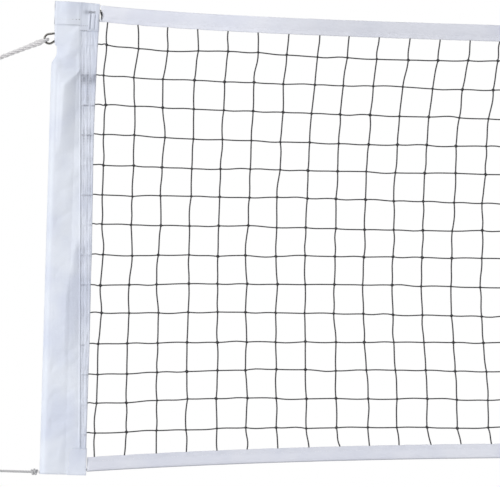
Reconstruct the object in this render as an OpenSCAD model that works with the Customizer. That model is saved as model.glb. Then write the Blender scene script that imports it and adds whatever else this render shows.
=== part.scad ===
// Portable volleyball net: knotted netting bound in coated tape, with a stiffening
// pole in a sleeve at each side, a steel cable in the top hem that ends in a thimble
// eye beyond each sleeve, and tie ropes at the four corners.
//
// X runs along the net, Y through it (the front faces -Y) and Z is up. The origin is
// the centre of the left thimble's eye, from which the net is hung. Millimetres.

/* [Netting] */
// Distance between neighbouring upright twines
mesh_pitch = 61.1; // [50:0.1:75]
// Number of meshes along the net
mesh_columns = 156; // [60:3:180]
// Number of level twines
level_twines = 14; // [11:3:17]
// Thickness of the twine
twine_d = 3.2; // [2:0.1:4]
// Distance from the lacing tape to the first upright twine
first_twine = 19; // [12:1:30]

/* [Tapes] */
// Thickness of the coated cloth
cloth_t = 0.8; // [0.5:0.1:1.2]
// Height of the top tape
top_tape_w = 33.3; // [24:0.1:50]
// Height of the bottom tape
bottom_tape_w = 29.5; // [22:0.1:45]
// How far the netting reaches into a tape
seam_depth = 8; // [5:0.5:12]
// Width of the lacing tape at each side
lacing_tape_w = 41.5; // [34:0.5:60]
// Gap between the lacing tape and the end of the top and bottom tapes
tape_end_gap = 3; // [2:0.5:6]
// Height of the corner patches
patch_h = 54; // [40:1:80]

/* [Outline] */
// Height of the lacing tape's top over the eye
side_top = 72; // [62:0.5:90]
// Height of the lacing tape
side_h = 949; // [800:1:1100]
// How much lower the top tape runs at mid-length than at its ends
top_drop = 17.8; // [0:0.1:25]
// Length over which the top tape settles
top_reach = 228; // [180:1:400]
// How much higher the bottom tape runs at mid-length than at its ends
bottom_rise = 88.5; // [0:0.5:110]
// Length over which the bottom tape settles
bottom_reach = 950; // [500:10:1500]

/* [Sleeves and poles] */
// Diameter of the stiffening pole
pole_d = 22; // [16:0.5:24]
// Wall of the pole
pole_wall = 1.5; // [1:0.1:3]
// Depth of the lower cap's face inside the sleeve
pole_recess = 7; // [4:0.5:20]
// Thickness of the caps' flanges
cap_flange = 3; // [2:0.5:4]
// Length of the caps' plugs
cap_plug = 15; // [8:1:30]
// Distance from the eye's centre to the sleeve's outer fold around the pole
sleeve_x = 5.3; // [4:0.1:9]
// Distance from the eye's centre to the lacing tape's fold
lacing_x = 57; // [56:0.5:64]
// Height of the sleeve over the lacing tape's top
sleeve_over = 5; // [2:0.5:10]
// Height of the folded hem at the sleeve's top
hem_h = 47; // [30:1:60]
// Depth of the sleeve's round pocket under the eye's centre
pocket_top = 50; // [46:1:60]
// Height of the drawn-in neck over the round pocket
neck_h = 38; // [30:1:40]
// Lap of the sleeve's cloth over the lacing tape at the top
lap_top = 5; // [4:0.5:8]
// Lap of the sleeve's cloth over the lacing tape at the bottom
lap_bottom = 31; // [20:0.5:33]

/* [Cable and eyes] */
// Diameter of the steel cable
cable_d = 3.2; // [2.4:0.1:3.4]
// Height of the cable over the top tape's lower edge where it enters the tape
cable_entry = 2.4; // [2:0.1:8]
// Radius of the eye
eye_r = 7.7; // [7:0.1:8.2]
// Metal of the thimble
thimble_t = 1.2; // [0.8:0.1:1.4]
// Distance from the eye's centre to the ferrule
ferrule_x = 36; // [34:1:38]
// Length of the ferrule
ferrule_l = 14; // [10:1:16]
// Wall of the ferrule
ferrule_wall = 1.2; // [0.8:0.1:1.4]

/* [Cords] */
// Diameter of the upper tie ropes
top_rope_d = 9.5; // [7:0.5:10]
// Diameter of the bottom cord and the lower tie ropes
bottom_rope_d = 5.5; // [4:0.5:6]
// Diameter of the knots in the upper tie ropes
top_knot_d = 26; // [22:1:30]
// Diameter of the knots in the lower tie ropes
bottom_knot_d = 15; // [12:1:17]

/* [Fits] */
// Clearance between pieces that move or are threaded through each other
gap = 0.3; // [0.2:0.05:0.4]
// Space between two layers of cloth that are sewn together
seam_gap = 0.1; // [0.05:0.05:0.15]
// Clearance of a plug or a cable in its bore
bore_gap = 0.05; // [0.02:0.01:0.1]

/* [Hidden] */
$fn = 48;

cloth_white = "#e6e9f3";
lining_white = "#dde1ec";
twine_black = "#26262a";
rope_white = "#ecebe8";
steel = "#a9acb0";
pole_grey = "#c3c6ca";
cap_black = "#303236";

// Layers of cloth, counted outwards from the net's middle plane
pocket_half = max(twine_d, cable_d) / 2 + gap;
tape_half = pocket_half + cloth_t;
lap_half = tape_half + seam_gap;
sleeve_half = lap_half + cloth_t;
patch_half = sleeve_half + seam_gap;
hem_cord_half = bottom_rope_d / 2 + gap;

// Stations along X
pole_r = pole_d / 2;
pole_x = sleeve_x + pole_r + gap + cloth_t;
lacing_end = lacing_x + lacing_tape_w;
tape_x = lacing_end + tape_end_gap;
net_x = lacing_x + cloth_t + gap;
first_x = lacing_end + first_twine;
middle_x = first_x + mesh_columns * mesh_pitch / 2;

// Heights
sleeve_top = side_top + sleeve_over;
side_bottom = side_top - side_h;
sleeve_bottom = side_bottom - sleeve_over - 1;
pocket_z = -pocket_top;
pole_top = pocket_z - gap - cap_flange;
pole_bottom = sleeve_bottom + pole_recess + cap_flange;
pole_length = pole_top - pole_bottom;
top_middle = side_top - 0.7 - top_drop;
bottom_middle = side_bottom + 0.5 + bottom_rise;

// The tapes' edges sink and rise towards mid-length, fast at first
function from_end(x) = min(x, 2 * middle_x - x) - lacing_end;
function top_edge(x) = top_middle + top_drop * exp(-from_end(x) / top_reach);
function bottom_edge(x) = bottom_middle - bottom_rise * exp(-from_end(x) / bottom_reach);
function tape_gap_top(x) = top_edge(x) - top_tape_w;
function tape_gap_bottom(x) = bottom_edge(x) + bottom_tape_w;

// Stations for the curved pieces, close together near the ends
half_steps = 18;
function stations(start) = concat(
    [for (i = [0 : half_steps]) start + (middle_x - start) * pow(i / half_steps, 2)],
    [for (i = [half_steps - 1 : -1 : 0])
        2 * middle_x - start - (middle_x - start) * pow(i / half_steps, 2)]);

// The cable: straight from the ferrule to the hem, then easing up under the fold
cable_r = cable_d / 2;
bore_r = cable_r + bore_gap;
strand_z = bore_r + 0.1;
cable_enter = [tape_x, tape_gap_top(tape_x) + cable_entry];
cable_slope = atan2(cable_enter[1], cable_enter[0]) + asin(strand_z / norm(cable_enter));
function straight_cable(x) = x * tan(cable_slope) - strand_z / cos(cable_slope);
function hem_cable(x) = top_edge(x) - cloth_t - gap - cable_r;
cable_lift = hem_cable(tape_x) - straight_cable(tape_x);
hem_slope = -top_drop / top_reach * exp(-from_end(tape_x) / top_reach);
cable_ease = cable_lift / (tan(cable_slope) - hem_slope);
function cable_z(x) = let(near = min(x, 2 * middle_x - x))
    near <= tape_x ? straight_cable(near)
        : hem_cable(near) - cable_lift * exp(-(near - tape_x) / cable_ease);

// The eye: strands round the thimble, tangent to it, that meet in the ferrule
strand_r = eye_r + thimble_t + bore_r;
flange_r = strand_r - cable_r * 0.3;
thimble_half = bore_r + 0.75;
thimble_arm = 18;
function touch(centre, r, p, side) =
    let(d = p - centre, turn = acos(r / norm(d)), base = atan2(d[1], d[0]))
    centre + r * [cos(base + side * turn), sin(base + side * turn)];
arm_start = touch([0, 0], strand_r, [ferrule_x, strand_z], 1);
arm_angle = atan2(strand_z - arm_start[1], ferrule_x - arm_start[0]);
arc_start = atan2(arm_start[1], arm_start[0]);
arc_steps = 12;

// The spliced end of an upper rope, along the rope from the eye's centre
splice_strand_r = 3.5;
bar_middle = (eye_r + strand_r + cable_r) / 2;
bar_corner = norm([(strand_r + cable_r - eye_r) / 2, thimble_half]);
splice_turn_r = bar_corner + gap + splice_strand_r;
splice_throat = 35;
splice_end = 60;
rope_r = top_rope_d / 2;

// The upper rope's route along and across its own line: the taut stretch from the
// splice, through the knot, round the end loop and back into the knot
top_knot_s = 128;
top_rope_route = [[52, 0], [62, 0], [72, 0], [82, 0], [92, 0], [104, 0], [116, 0],
    [126, 1], [136, 6], [147, 13], [159, 18], [172, 20], [184, 18], [194, 11],
    [198, 0], [194, -11], [184, -18], [172, -20], [159, -18], [147, -13],
    [136, -7], [128, -3]];

// The bottom cord's ends, out through the slit in the tape's back and behind the
// sleeve, as X from the tape's end and the share of the way back to cord_behind
cord_r = bottom_rope_d / 2;
stopper_x = -6;
stopper_z = side_bottom - 3.5;

// A knot is wraps of cord side by side; the outer ones are drawn in, so that a stopper
// turns clear of the cord behind it
knot_wraps = 3;
function wrap_level(r, wrap_r, i) = i == 0 || i == knot_wraps - 1 ? r - 0.65 * wrap_r : r;
wrap_bulge = [[0.3, 0.35], [1, 0], [1.7, 0.35]];
function knot_reach(r, wrap_r) = norm([wrap_level(r, wrap_r, 0) - wrap_bulge[0][1] * wrap_r,
    (knot_wraps - wrap_bulge[0][0]) * wrap_r]);

cord_behind = pole_r + gap + cloth_t + gap + cord_r;
cord_exit_route = [[-84.5, 1], [-67.5, 0.88], [-53.5, 0.73], [-35.5, 0.6],
    [-17.5, 0.56], [-2.5, 0.53], [10.5, 0.43], [23.5, 0.28], [36.5, 0.13],
    [48.5, 0.04]];
function cord_level(x) = x >= tape_x ? bottom_edge(x) + cloth_t + gap + cord_r
    : stopper_z + (x - stopper_x) / (tape_x - stopper_x) * (cord_level(tape_x) - stopper_z);

// The lower rope's route, along and across its own line from the stopper
bottom_knot_s = 84;
bottom_rope_route = [[4, 0], [12, 0], [20, 0], [28, 0], [36, 0], [44, 0], [52, 0],
    [60, 0], [68, 0], [76, 0], [83, 1], [90, 4], [98, 9], [107, 12], [116, 12],
    [124, 8], [127, 0], [124, -8], [116, -12], [107, -12], [98, -9], [90, -5],
    [84, -2]];

// The netting's lines: level twines share the height between the tapes, and the drawn
// bars are every third of them
first_level = 0.052;
last_level = 0.947;
level_shift = 0.014;
function level_share(i, x) =
    let(low = last_level + level_shift * min(1, max(0, (from_end(x) - 300) / 500)))
    first_level + (low - first_level) * (i - 1) / (level_twines - 1);
function level_z(i, x) = tape_gap_top(x)
    - level_share(i, x) * (tape_gap_top(x) - tape_gap_bottom(x));
function net_top(x) = min(tape_gap_top(x) + seam_depth, cable_z(x) - cable_r - 1);
function net_bottom(x) = tape_gap_bottom(x) - seam_depth;
meshes_per_gap = 3;
gap_rows = (level_twines + 1) / meshes_per_gap;
gap_columns = mesh_columns / meshes_per_gap;
function upright_x(j) = first_x + j * meshes_per_gap * mesh_pitch;

module other_end() {
    translate([2 * middle_x, 0, 0]) mirror([1, 0, 0]) children();
}

// A flat outline in X and Z, as thick along Y as two times half
module upright_slab(half) {
    rotate([90, 0, 0]) linear_extrude(2 * half, center = true) children();
}

// The strip between two curves over X
module strip(xs, low, high) {
    polygon(concat([for (i = [0 : len(xs) - 1]) [xs[i], low[i]]],
        [for (i = [len(xs) - 1 : -1 : 0]) [xs[i], high[i]]]));
}

// A round tube along a path, with its rings square to it; flat is a direction that
// the path never follows
module tube(path, r, sides, flat) {
    last = len(path) - 1;
    rings = [for (i = [0 : last])
        let(along = path[min(i + 1, last)] - path[max(i - 1, 0)],
            across = cross(flat, along) / norm(cross(flat, along)),
            over = cross(along, across) / norm(cross(along, across)))
        for (k = [0 : sides - 1])
            path[i] + r * (cos(360 * k / sides) * across + sin(360 * k / sides) * over)];
    sides_faces = [for (i = [0 : last - 1]) for (k = [0 : sides - 1])
        let(a = i * sides + k, b = i * sides + (k + 1) % sides)
        for (face = [[a, a + sides, b], [b, a + sides, b + sides]]) face];
    start_face = [for (k = [1 : sides - 2]) [0, k, k + 1]];
    end_face = [for (k = [1 : sides - 2])
        [last * sides, last * sides + k + 1, last * sides + k]];
    polyhedron(rings, concat(sides_faces, start_face, end_face));
}

module netting() {
    xs = [for (x = stations(net_x)) x];
    rim = concat([for (x = xs) [x, net_bottom(x)]],
        [for (i = [len(xs) - 1 : -1 : 0]) [xs[i], net_top(xs[i])]]);
    bar = twine_d / 2;
    columns = concat([[net_x + twine_d, upright_x(0) - bar]],
        [for (j = [0 : gap_columns - 1]) [upright_x(j) + bar, upright_x(j + 1) - bar]],
        [[upright_x(gap_columns) + bar, 2 * middle_x - net_x - twine_d]]);
    function gap_top(i, x) = i == 0 ? net_top(x) - twine_d
        : level_z(i * meshes_per_gap, x) - bar;
    function gap_bottom(i, x) = i == gap_rows - 1 ? net_bottom(x) + twine_d
        : level_z((i + 1) * meshes_per_gap, x) + bar;
    gaps = [for (c = columns) for (i = [0 : gap_rows - 1])
        [[c[0], gap_bottom(i, c[0])], [c[1], gap_bottom(i, c[1])],
            [c[1], gap_top(i, c[1])], [c[0], gap_top(i, c[0])]]];
    points = concat(rim, [for (g = gaps) for (p = g) p]);
    paths = concat([[for (i = [0 : len(rim) - 1]) i]],
        [for (g = [0 : len(gaps) - 1]) [for (k = [0 : 3]) len(rim) + 4 * g + k]]);
    color(twine_black) upright_slab(bar) polygon(points, paths);
}

module top_tape() {
    xs = stations(tape_x);
    low = [for (x = xs) tape_gap_top(x)];
    high = [for (x = xs) top_edge(x)];
    color(cloth_white) difference() {
        upright_slab(tape_half) strip(xs, low, high);
        upright_slab(pocket_half) strip([for (x = xs) x + (x - middle_x) * 0.001],
            [for (z = low) z - 1], [for (z = high) z - cloth_t]);
    }
}

module bottom_tape() {
    xs = stations(tape_x);
    wide = [for (x = xs) x + (x - middle_x) * 0.001];
    low = [for (x = xs) bottom_edge(x)];
    cord_top = 2 * cord_r + 2 * gap + cloth_t;
    color(cloth_white) difference() {
        union() {
            upright_slab(tape_half) strip(xs, low, [for (z = low) z + bottom_tape_w]);
            upright_slab(hem_cord_half + cloth_t)
                strip(xs, low, [for (z = low) z + cord_top + cloth_t]);
        }
        upright_slab(pocket_half)
            strip(wide, [for (z = low) z + cloth_t], [for (z = low) z + bottom_tape_w + 1]);
        upright_slab(hem_cord_half)
            strip(wide, [for (z = low) z + cloth_t], [for (z = low) z + cord_top]);
        cord_slot();
        other_end() cord_slot();
    }
}

// The slit in the back of the bottom tape, where the cord comes out
module cord_slot() {
    slot_end = tape_x + 58;
    xs = [tape_x - 1, tape_x + 20, tape_x + 40, slot_end];
    translate([0, cord_r + cloth_t + 1, 0]) upright_slab(cord_r + cloth_t + 1)
        strip(xs, [for (x = xs) bottom_edge(x) + cloth_t],
            [for (x = xs) bottom_edge(x) + cloth_t + 2 * cord_r + 2 * gap]);
}

function turned(p) = [p[0] * cos(cable_slope) - p[1] * sin(cable_slope), 0,
    p[0] * sin(cable_slope) + p[1] * cos(cable_slope)];
eye_path = concat([[ferrule_x + ferrule_l + 3, strand_z], [ferrule_x, strand_z]],
    [for (i = [0 : arc_steps]) let(a = arc_start + (360 - 2 * arc_start) * i / arc_steps)
        strand_r / cos((180 - arc_start) / arc_steps) * [cos(a), sin(a)]],
    [[ferrule_x, -strand_z], [ferrule_x + ferrule_l + 3, -strand_z]]);

module top_cable() {
    left = [for (p = eye_path) turned(p)];
    right = [for (i = [len(left) - 1 : -1 : 0])
        [2 * middle_x - left[i][0], 0, left[i][2]]];
    ease = [for (i = [1 : 6]) tape_x + 12 * i];
    run = concat([tape_x], ease,
        [for (x = stations(tape_x)) if (x > ease[5] + 5 && x < 2 * middle_x - ease[5] - 5) x],
        [for (i = [5 : -1 : 0]) 2 * middle_x - ease[i]], [2 * middle_x - tape_x]);
    color(steel)
        tube(concat(left, [for (x = run) [x, 0, cable_z(x)]], right), cable_r, 6, [0, 1, 0]);
}

module bottom_cord() {
    cord_start = stopper_x + knot_reach(bottom_knot_d / 2, cord_r) + gap;
    left = concat([[cord_start, cord_behind, stopper_z]],
        [for (p = cord_exit_route)
            [tape_x + p[0], cord_behind * p[1], cord_level(tape_x + p[0])]]);
    right = [for (i = [len(left) - 1 : -1 : 0])
        [2 * middle_x - left[i][0], left[i][1], left[i][2]]];
    hem_x = tape_x + 64;
    inside = [for (x = stations(tape_x)) if (x > hem_x && x < 2 * middle_x - hem_x)
        [x, 0, cord_level(min(x, 2 * middle_x - x))]];
    color(rope_white) tube(concat(left, inside, right), cord_r, 6, [0, 0, 1]);
}

module left_lacing_tape() {
    color(lining_white) difference() {
        translate([lacing_x, -tape_half, side_bottom]) cube([lacing_tape_w, 2 * tape_half, side_h]);
        translate([lacing_x + cloth_t, -pocket_half, side_bottom - 1])
            cube([lacing_tape_w, 2 * pocket_half, side_h + 2]);
        cable_slit(lacing_x - 3, lacing_x + 3);
    }
}

// The slit in a fold that the cable passes through
module cable_slit(from, to) {
    slit_half = cable_r + 2 * gap;
    upright_slab(pocket_half) strip([from, to],
        [for (x = [from, to]) straight_cable(x) - slit_half / cos(cable_slope)],
        [for (x = [from, to]) straight_cable(x) + slit_half / cos(cable_slope)]);
}

// A round fold that narrows to two flat layers, seen from above
fold_steps = 18;
module pocket_outline(x, r, half, end) {
    d = [lacing_x - x, half];
    turn = atan2(d[1], d[0]) + acos(r / norm(d));
    polygon(concat([[end, half], [lacing_x, half]],
        [for (i = [0 : fold_steps]) let(a = turn + (360 - 2 * turn) * i / fold_steps)
            [x + r * cos(a), r * sin(a)]],
        [[lacing_x, -half], [end, -half]]));
}

// One stretch of the sleeve, whose outer fold lies at x
module sleeve_stretch(x, r, low, high) {
    lap_end = lacing_x + lap_bottom;
    translate([0, 0, low]) linear_extrude(high - low) difference() {
        pocket_outline(x + r, r, sleeve_half, lap_end);
        pocket_outline(x + r, r - cloth_t, lap_half, lap_end + 1);
    }
}

flat_x = 10;
flat_r = thimble_half + 3.2;
neck_x = 16.2;
neck_r = 4.2;

module left_sleeve() {
    neck_z = pocket_z + neck_h;
    color(cloth_white) difference() {
        union() {
            sleeve_stretch(sleeve_x, pole_r + gap + cloth_t, sleeve_bottom, pocket_z);
            translate([0, 0, pocket_z]) linear_extrude(cloth_t) difference() {
                pocket_outline(pole_x, pole_r + gap + cloth_t, sleeve_half,
                    lacing_x + lap_bottom);
                pocket_outline(neck_x + neck_r, neck_r - cloth_t, lap_half,
                    lacing_x + lap_bottom + 1);
            }
            sleeve_stretch(neck_x, neck_r, pocket_z + cloth_t, neck_z);
            translate([0, 0, neck_z]) linear_extrude(cloth_t) difference() {
                pocket_outline(flat_x + flat_r, flat_r, sleeve_half, lacing_x + lap_bottom);
                pocket_outline(neck_x + neck_r, neck_r - cloth_t, lap_half,
                    lacing_x + lap_bottom + 1);
            }
            sleeve_stretch(flat_x, flat_r, neck_z + cloth_t, sleeve_top);
            hem();
        }
        lap_cut();
        eye_slit();
    }
}

// The sleeve's cloth turned over at the top, one more layer thick
module hem() {
    translate([0, 0, sleeve_top - hem_h]) linear_extrude(hem_h) difference() {
        pocket_outline(flat_x + flat_r, flat_r + cloth_t, sleeve_half + cloth_t,
            lacing_x + lap_bottom);
        pocket_outline(flat_x + flat_r, flat_r - cloth_t / 2, lap_half + cloth_t / 2,
            lacing_x + lap_bottom + 1);
    }
}

// What lies past the slanting edge of the sleeve's lap
module lap_cut() {
    edge_top = lacing_x + lap_top;
    edge_bottom = lacing_x + lap_bottom;
    far = edge_bottom + 10;
    upright_slab(patch_half + 5) polygon([[edge_top, sleeve_top + 1], [far, sleeve_top + 1],
        [far, sleeve_bottom - 1], [edge_bottom, sleeve_bottom - 1]]);
}

// The slit in the sleeve's outer fold, where the eye stands out
module eye_slit() {
    reach = flat_x + flat_r;
    slit_half = strand_r + cable_r + gap;
    upright_slab(thimble_half + gap) strip([flat_x - 2, reach],
        [for (x = [flat_x - 2, reach]) x * tan(cable_slope) - slit_half],
        [for (x = [flat_x - 2, reach]) x * tan(cable_slope) + slit_half]);
}

// A cloth strip folded over the end of the lacing tape, with its inner faces at half;
// out is 1 at the top and -1 at the bottom
module patch(fold_z, out, half) {
    low = min(fold_z, fold_z - out * patch_h);
    fold_low = min(fold_z, fold_z + out * cloth_t);
    x = lacing_x + 7;
    w = lacing_end - x;
    for (side = [-1, 1])
        translate([x, side > 0 ? half : -half - cloth_t, low]) cube([w, cloth_t, patch_h]);
    translate([x, -half - cloth_t, fold_low]) cube([w, 2 * half + 2 * cloth_t, cloth_t]);
}

module left_top_patch() {
    color(cloth_white) patch(side_top + seam_gap, 1, lap_half);
}

module left_bottom_patch() {
    color(cloth_white) patch(sleeve_bottom - seam_gap, -1, patch_half);
}

// Turns the eye's own plane, with its ferrule along +X, to the cable's slope
module along_cable() {
    rotate([0, -cable_slope, 0]) children();
}

module thimble_section() {
    polygon([[eye_r, -thimble_half], [flange_r, -thimble_half], [flange_r, -bore_r],
        [eye_r + thimble_t, -bore_r], [eye_r + thimble_t, bore_r],
        [flange_r, bore_r], [flange_r, thimble_half], [eye_r, thimble_half]]);
}

module left_thimble() {
    color(steel) along_cable() {
        rotate([90, 0, 0]) rotate([0, 0, arc_start])
            rotate_extrude(angle = 360 - 2 * arc_start) thimble_section();
        for (side = [0, 1]) mirror([0, 0, side])
            translate([arm_start[0], 0, arm_start[1]]) rotate([0, -arm_angle, 0])
                translate([-0.4, 0, -strand_r]) rotate([90, 0, 90])
                    linear_extrude(thimble_arm) rotate(90) thimble_section();
    }
}

module left_ferrule() {
    shell_r = cable_r + ferrule_wall;
    color(steel) along_cable() translate([ferrule_x, 0, 0]) rotate([0, 90, 0]) difference() {
        linear_extrude(ferrule_l) {
            translate([-strand_z, 0]) circle(shell_r);
            translate([strand_z, 0]) circle(shell_r);
            square([2 * strand_z, 2 * shell_r], center = true);
        }
        for (x = [-strand_z, strand_z])
            translate([x, 0, -1]) cylinder(r = bore_r, h = ferrule_l + 2);
    }
}

module left_pole() {
    color(pole_grey) translate([pole_x, 0, pole_bottom]) difference() {
        cylinder(r = pole_r, h = pole_length);
        translate([0, 0, -1]) cylinder(r = pole_r - pole_wall, h = pole_length + 2);
    }
}

// A flanged plug for a pole's end, whose twelve-sided plug grips at its ribs; out is 1 at
// the top and -1 at the bottom
module pole_cap(z, out) {
    color(cap_black) translate([pole_x, 0, z]) mirror([0, 0, out > 0 ? 0 : 1]) {
        cylinder(r = pole_r, h = cap_flange);
        translate([0, 0, -cap_plug])
            cylinder(r = pole_r - pole_wall - bore_gap, h = cap_plug + 0.5, $fn = 12);
    }
}

module left_pole_top_cap() {
    pole_cap(pole_top, 1);
}

module left_pole_bottom_cap() {
    pole_cap(pole_bottom, -1);
}

// Turns a rope's own line, away from the net along -X, to the cable's slope
module along_rope() {
    rotate([0, -cable_slope, 0]) mirror([1, 0, 0]) children();
}

// One side of the rope's loop through the eye, from its middle to the throat
module splice_leg(side) {
    turn = [for (i = [0 : 7]) let(a = 185 - 95 * i / 7)
        [bar_middle + splice_turn_r * cos(a), side * splice_turn_r * sin(a), 0]];
    tube(concat(turn, [[bar_middle + 12, side * 5.6, 0], [splice_throat, side * 1.9, 0],
        [splice_throat + 8, side * 1.3, 0]]), splice_strand_r, 8, [0, 0, 1]);
}

module left_top_splice() {
    color(rope_white) along_rope() {
        splice_leg(1);
        splice_leg(-1);
        translate([splice_throat - 2, 0, 0]) rotate([0, 90, 0])
            cylinder(r1 = 5.5, r2 = rope_r + 0.4, h = splice_end - splice_throat + 2, $fn = 12);
    }
}

// A rope's route in its own line, as points in its own plane
function in_plane(route) = [for (p = route) [p[0], 0, p[1]]];

module left_top_rope() {
    color(rope_white) along_rope() tube(in_plane(top_rope_route), rope_r, 8, [0, 1, 0]);
}

// A knot round the rope, along the rope's own line
module wound_knot(r, wrap_r) {
    half = knot_wraps * wrap_r;
    core = wrap_level(r, wrap_r, 0) - wrap_r;
    rim = [for (i = [0 : knot_wraps - 1]) for (b = wrap_bulge)
        [wrap_level(r, wrap_r, i) - b[1] * wrap_r, (2 * i + b[0]) * wrap_r - half]];
    rotate([0, 90, 0]) rotate_extrude($fn = 12)
        polygon(concat([[0, -half], [core, -half]], rim, [[core, half], [0, half]]));
}

module left_top_knot() {
    color(rope_white) along_rope() translate([top_knot_s, 0, 0])
        wound_knot(top_knot_d / 2, rope_r);
}

// Places a lower rope's own line, away from the net along -X, at its stopper
module at_stopper() {
    translate([stopper_x, cord_behind, stopper_z]) mirror([1, 0, 0]) children();
}

module left_bottom_stopper() {
    color(rope_white) at_stopper() wound_knot(bottom_knot_d / 2, cord_r);
}

module left_bottom_rope() {
    color(rope_white) at_stopper() tube(in_plane(bottom_rope_route), cord_r, 6, [0, 1, 0]);
}

module left_bottom_knot() {
    color(rope_white) at_stopper() translate([bottom_knot_s, 0, 0])
        wound_knot(bottom_knot_d / 2, cord_r);
}

module right_lacing_tape() { other_end() left_lacing_tape(); }
module right_sleeve() { other_end() left_sleeve(); }
module right_top_patch() { other_end() left_top_patch(); }
module right_bottom_patch() { other_end() left_bottom_patch(); }
module right_thimble() { other_end() left_thimble(); }
module right_ferrule() { other_end() left_ferrule(); }
module right_pole() { other_end() left_pole(); }
module right_pole_top_cap() { other_end() left_pole_top_cap(); }
module right_pole_bottom_cap() { other_end() left_pole_bottom_cap(); }
module right_top_splice() { other_end() left_top_splice(); }
module right_top_rope() { other_end() left_top_rope(); }
module right_top_knot() { other_end() left_top_knot(); }
module right_bottom_stopper() { other_end() left_bottom_stopper(); }
module right_bottom_rope() { other_end() left_bottom_rope(); }
module right_bottom_knot() { other_end() left_bottom_knot(); }

netting();
top_tape();
bottom_tape();
top_cable();
bottom_cord();
left_lacing_tape();
right_lacing_tape();
left_sleeve();
right_sleeve();
left_top_patch();
right_top_patch();
left_bottom_patch();
right_bottom_patch();
left_thimble();
right_thimble();
left_ferrule();
right_ferrule();
left_pole();
right_pole();
left_pole_top_cap();
right_pole_top_cap();
left_pole_bottom_cap();
right_pole_bottom_cap();
left_top_splice();
right_top_splice();
left_top_rope();
right_top_rope();
left_top_knot();
right_top_knot();
left_bottom_stopper();
right_bottom_stopper();
left_bottom_rope();
right_bottom_rope();
left_bottom_knot();
right_bottom_knot();
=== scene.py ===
"""Dresses the volleyball net: cloth bindings, twine, ropes, cable, stitching and the studio round it."""

import math

import bpy
import numpy as np
from mathutils import Matrix, Vector, noise


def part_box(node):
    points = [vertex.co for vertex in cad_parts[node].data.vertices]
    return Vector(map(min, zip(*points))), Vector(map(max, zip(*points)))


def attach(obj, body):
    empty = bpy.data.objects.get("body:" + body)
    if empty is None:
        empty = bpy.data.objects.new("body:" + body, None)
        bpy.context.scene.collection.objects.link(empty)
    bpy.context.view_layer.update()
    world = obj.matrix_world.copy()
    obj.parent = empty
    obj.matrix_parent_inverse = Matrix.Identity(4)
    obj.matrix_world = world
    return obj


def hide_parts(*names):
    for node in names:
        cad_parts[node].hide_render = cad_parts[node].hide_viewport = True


bl_info = {
    "name": "Volleyball net",
    "version": (1, 0, 0),
    "blender": (4, 5, 0),
    "location": "View3D > Sidebar > Volleyball net",
    "description": "Builds a cloth-bound volleyball net with its sleeves, cable and tie ropes",
    "category": "Add Mesh",
}

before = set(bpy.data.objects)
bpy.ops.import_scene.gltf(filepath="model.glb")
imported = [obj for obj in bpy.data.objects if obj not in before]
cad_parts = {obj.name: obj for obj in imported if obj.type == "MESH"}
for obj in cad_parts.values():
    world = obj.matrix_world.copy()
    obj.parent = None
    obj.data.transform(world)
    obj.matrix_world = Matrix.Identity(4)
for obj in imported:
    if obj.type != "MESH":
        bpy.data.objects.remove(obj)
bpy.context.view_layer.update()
MM = 0.001


def low_mm(node):
    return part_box(node)[0] / MM


def high_mm(node):
    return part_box(node)[1] / MM


# The net's layout in millimetres, from the construction's own boxes
MIDDLE = (low_mm("netting").x + high_mm("netting").x) / 2
SLEEVE_TOP, SLEEVE_BOTTOM = high_mm("left_sleeve").z, low_mm("left_sleeve").z
LACING_X, LACING_END = low_mm("left_lacing_tape").x, high_mm("left_lacing_tape").x
SIDE_TOP, SIDE_BOTTOM = high_mm("left_lacing_tape").z, low_mm("left_lacing_tape").z
TAPE_X = low_mm("top_tape").x
POLE_X = (low_mm("left_pole").x + high_mm("left_pole").x) / 2
COLUMNS, ROWS = 156, 14
PITCH = 61.1
FIRST_X = MIDDLE - COLUMNS * PITCH / 2
TOP_TAPE_W, BOTTOM_TAPE_W = 33.3, 29.5
CLOTH, HEM_GAP = 0.8, 0.3
# The tapes' outer edges: height at mid-length, how far they run off it at the ends, and over what length
TOP_EDGE, TOP_DROP, TOP_REACH = 53.5, 17.8, 228
BOTTOM_EDGE, BOTTOM_RISE, BOTTOM_REACH = -788, 88.5, 950
SIDES = ("left", "right")
EYE = np.array([0.0, 0.0, 0.0])
CABLE_R, CABLE_ENTRY, STRAND_Z = 1.6, 2.4, 1.75
STRAND_R = -low_mm("left_thimble").x + 0.3 * CABLE_R
FERRULE_X, FERRULE_END = 36.0, 53.0
TOP_ROPE_R, LOW_ROPE_R, LOW_KNOT_R = 4.75, 2.75, 4.75
UV_PER_METRE = 10


def linear(hex_colour):
    """An sRGB hex colour as linear RGBA."""
    parts = [int(hex_colour[i : i + 2], 16) / 255 for i in (1, 3, 5)]
    return (*[c / 12.92 if c <= 0.04045 else ((c + 0.055) / 1.055) ** 2.4 for c in parts], 1.0)


# ---------------------------------------------------------------- shape of the net


def from_end(x):
    return np.minimum(x, 2 * MIDDLE - x) - LACING_END


def top_edge(x):
    return TOP_EDGE + TOP_DROP * np.exp(-from_end(x) / TOP_REACH)


def bottom_edge(x):
    return BOTTOM_EDGE - BOTTOM_RISE * np.exp(-from_end(x) / BOTTOM_REACH)


def tape_gap(x):
    """Lower edge of the top tape and upper edge of the bottom tape."""
    return top_edge(x) - TOP_TAPE_W, bottom_edge(x) + BOTTOM_TAPE_W


def level_share(i, x):
    """How far down between the tapes a level twine runs, as a share."""
    last = 0.947 + 0.014 * np.clip((from_end(x) - 300) / 500, 0, 1)
    return 0.052 + (last - 0.052) * (i - 1) / (ROWS - 1)


def at_share(share, x):
    top, bottom = tape_gap(x)
    return top - share * (top - bottom)


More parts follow.
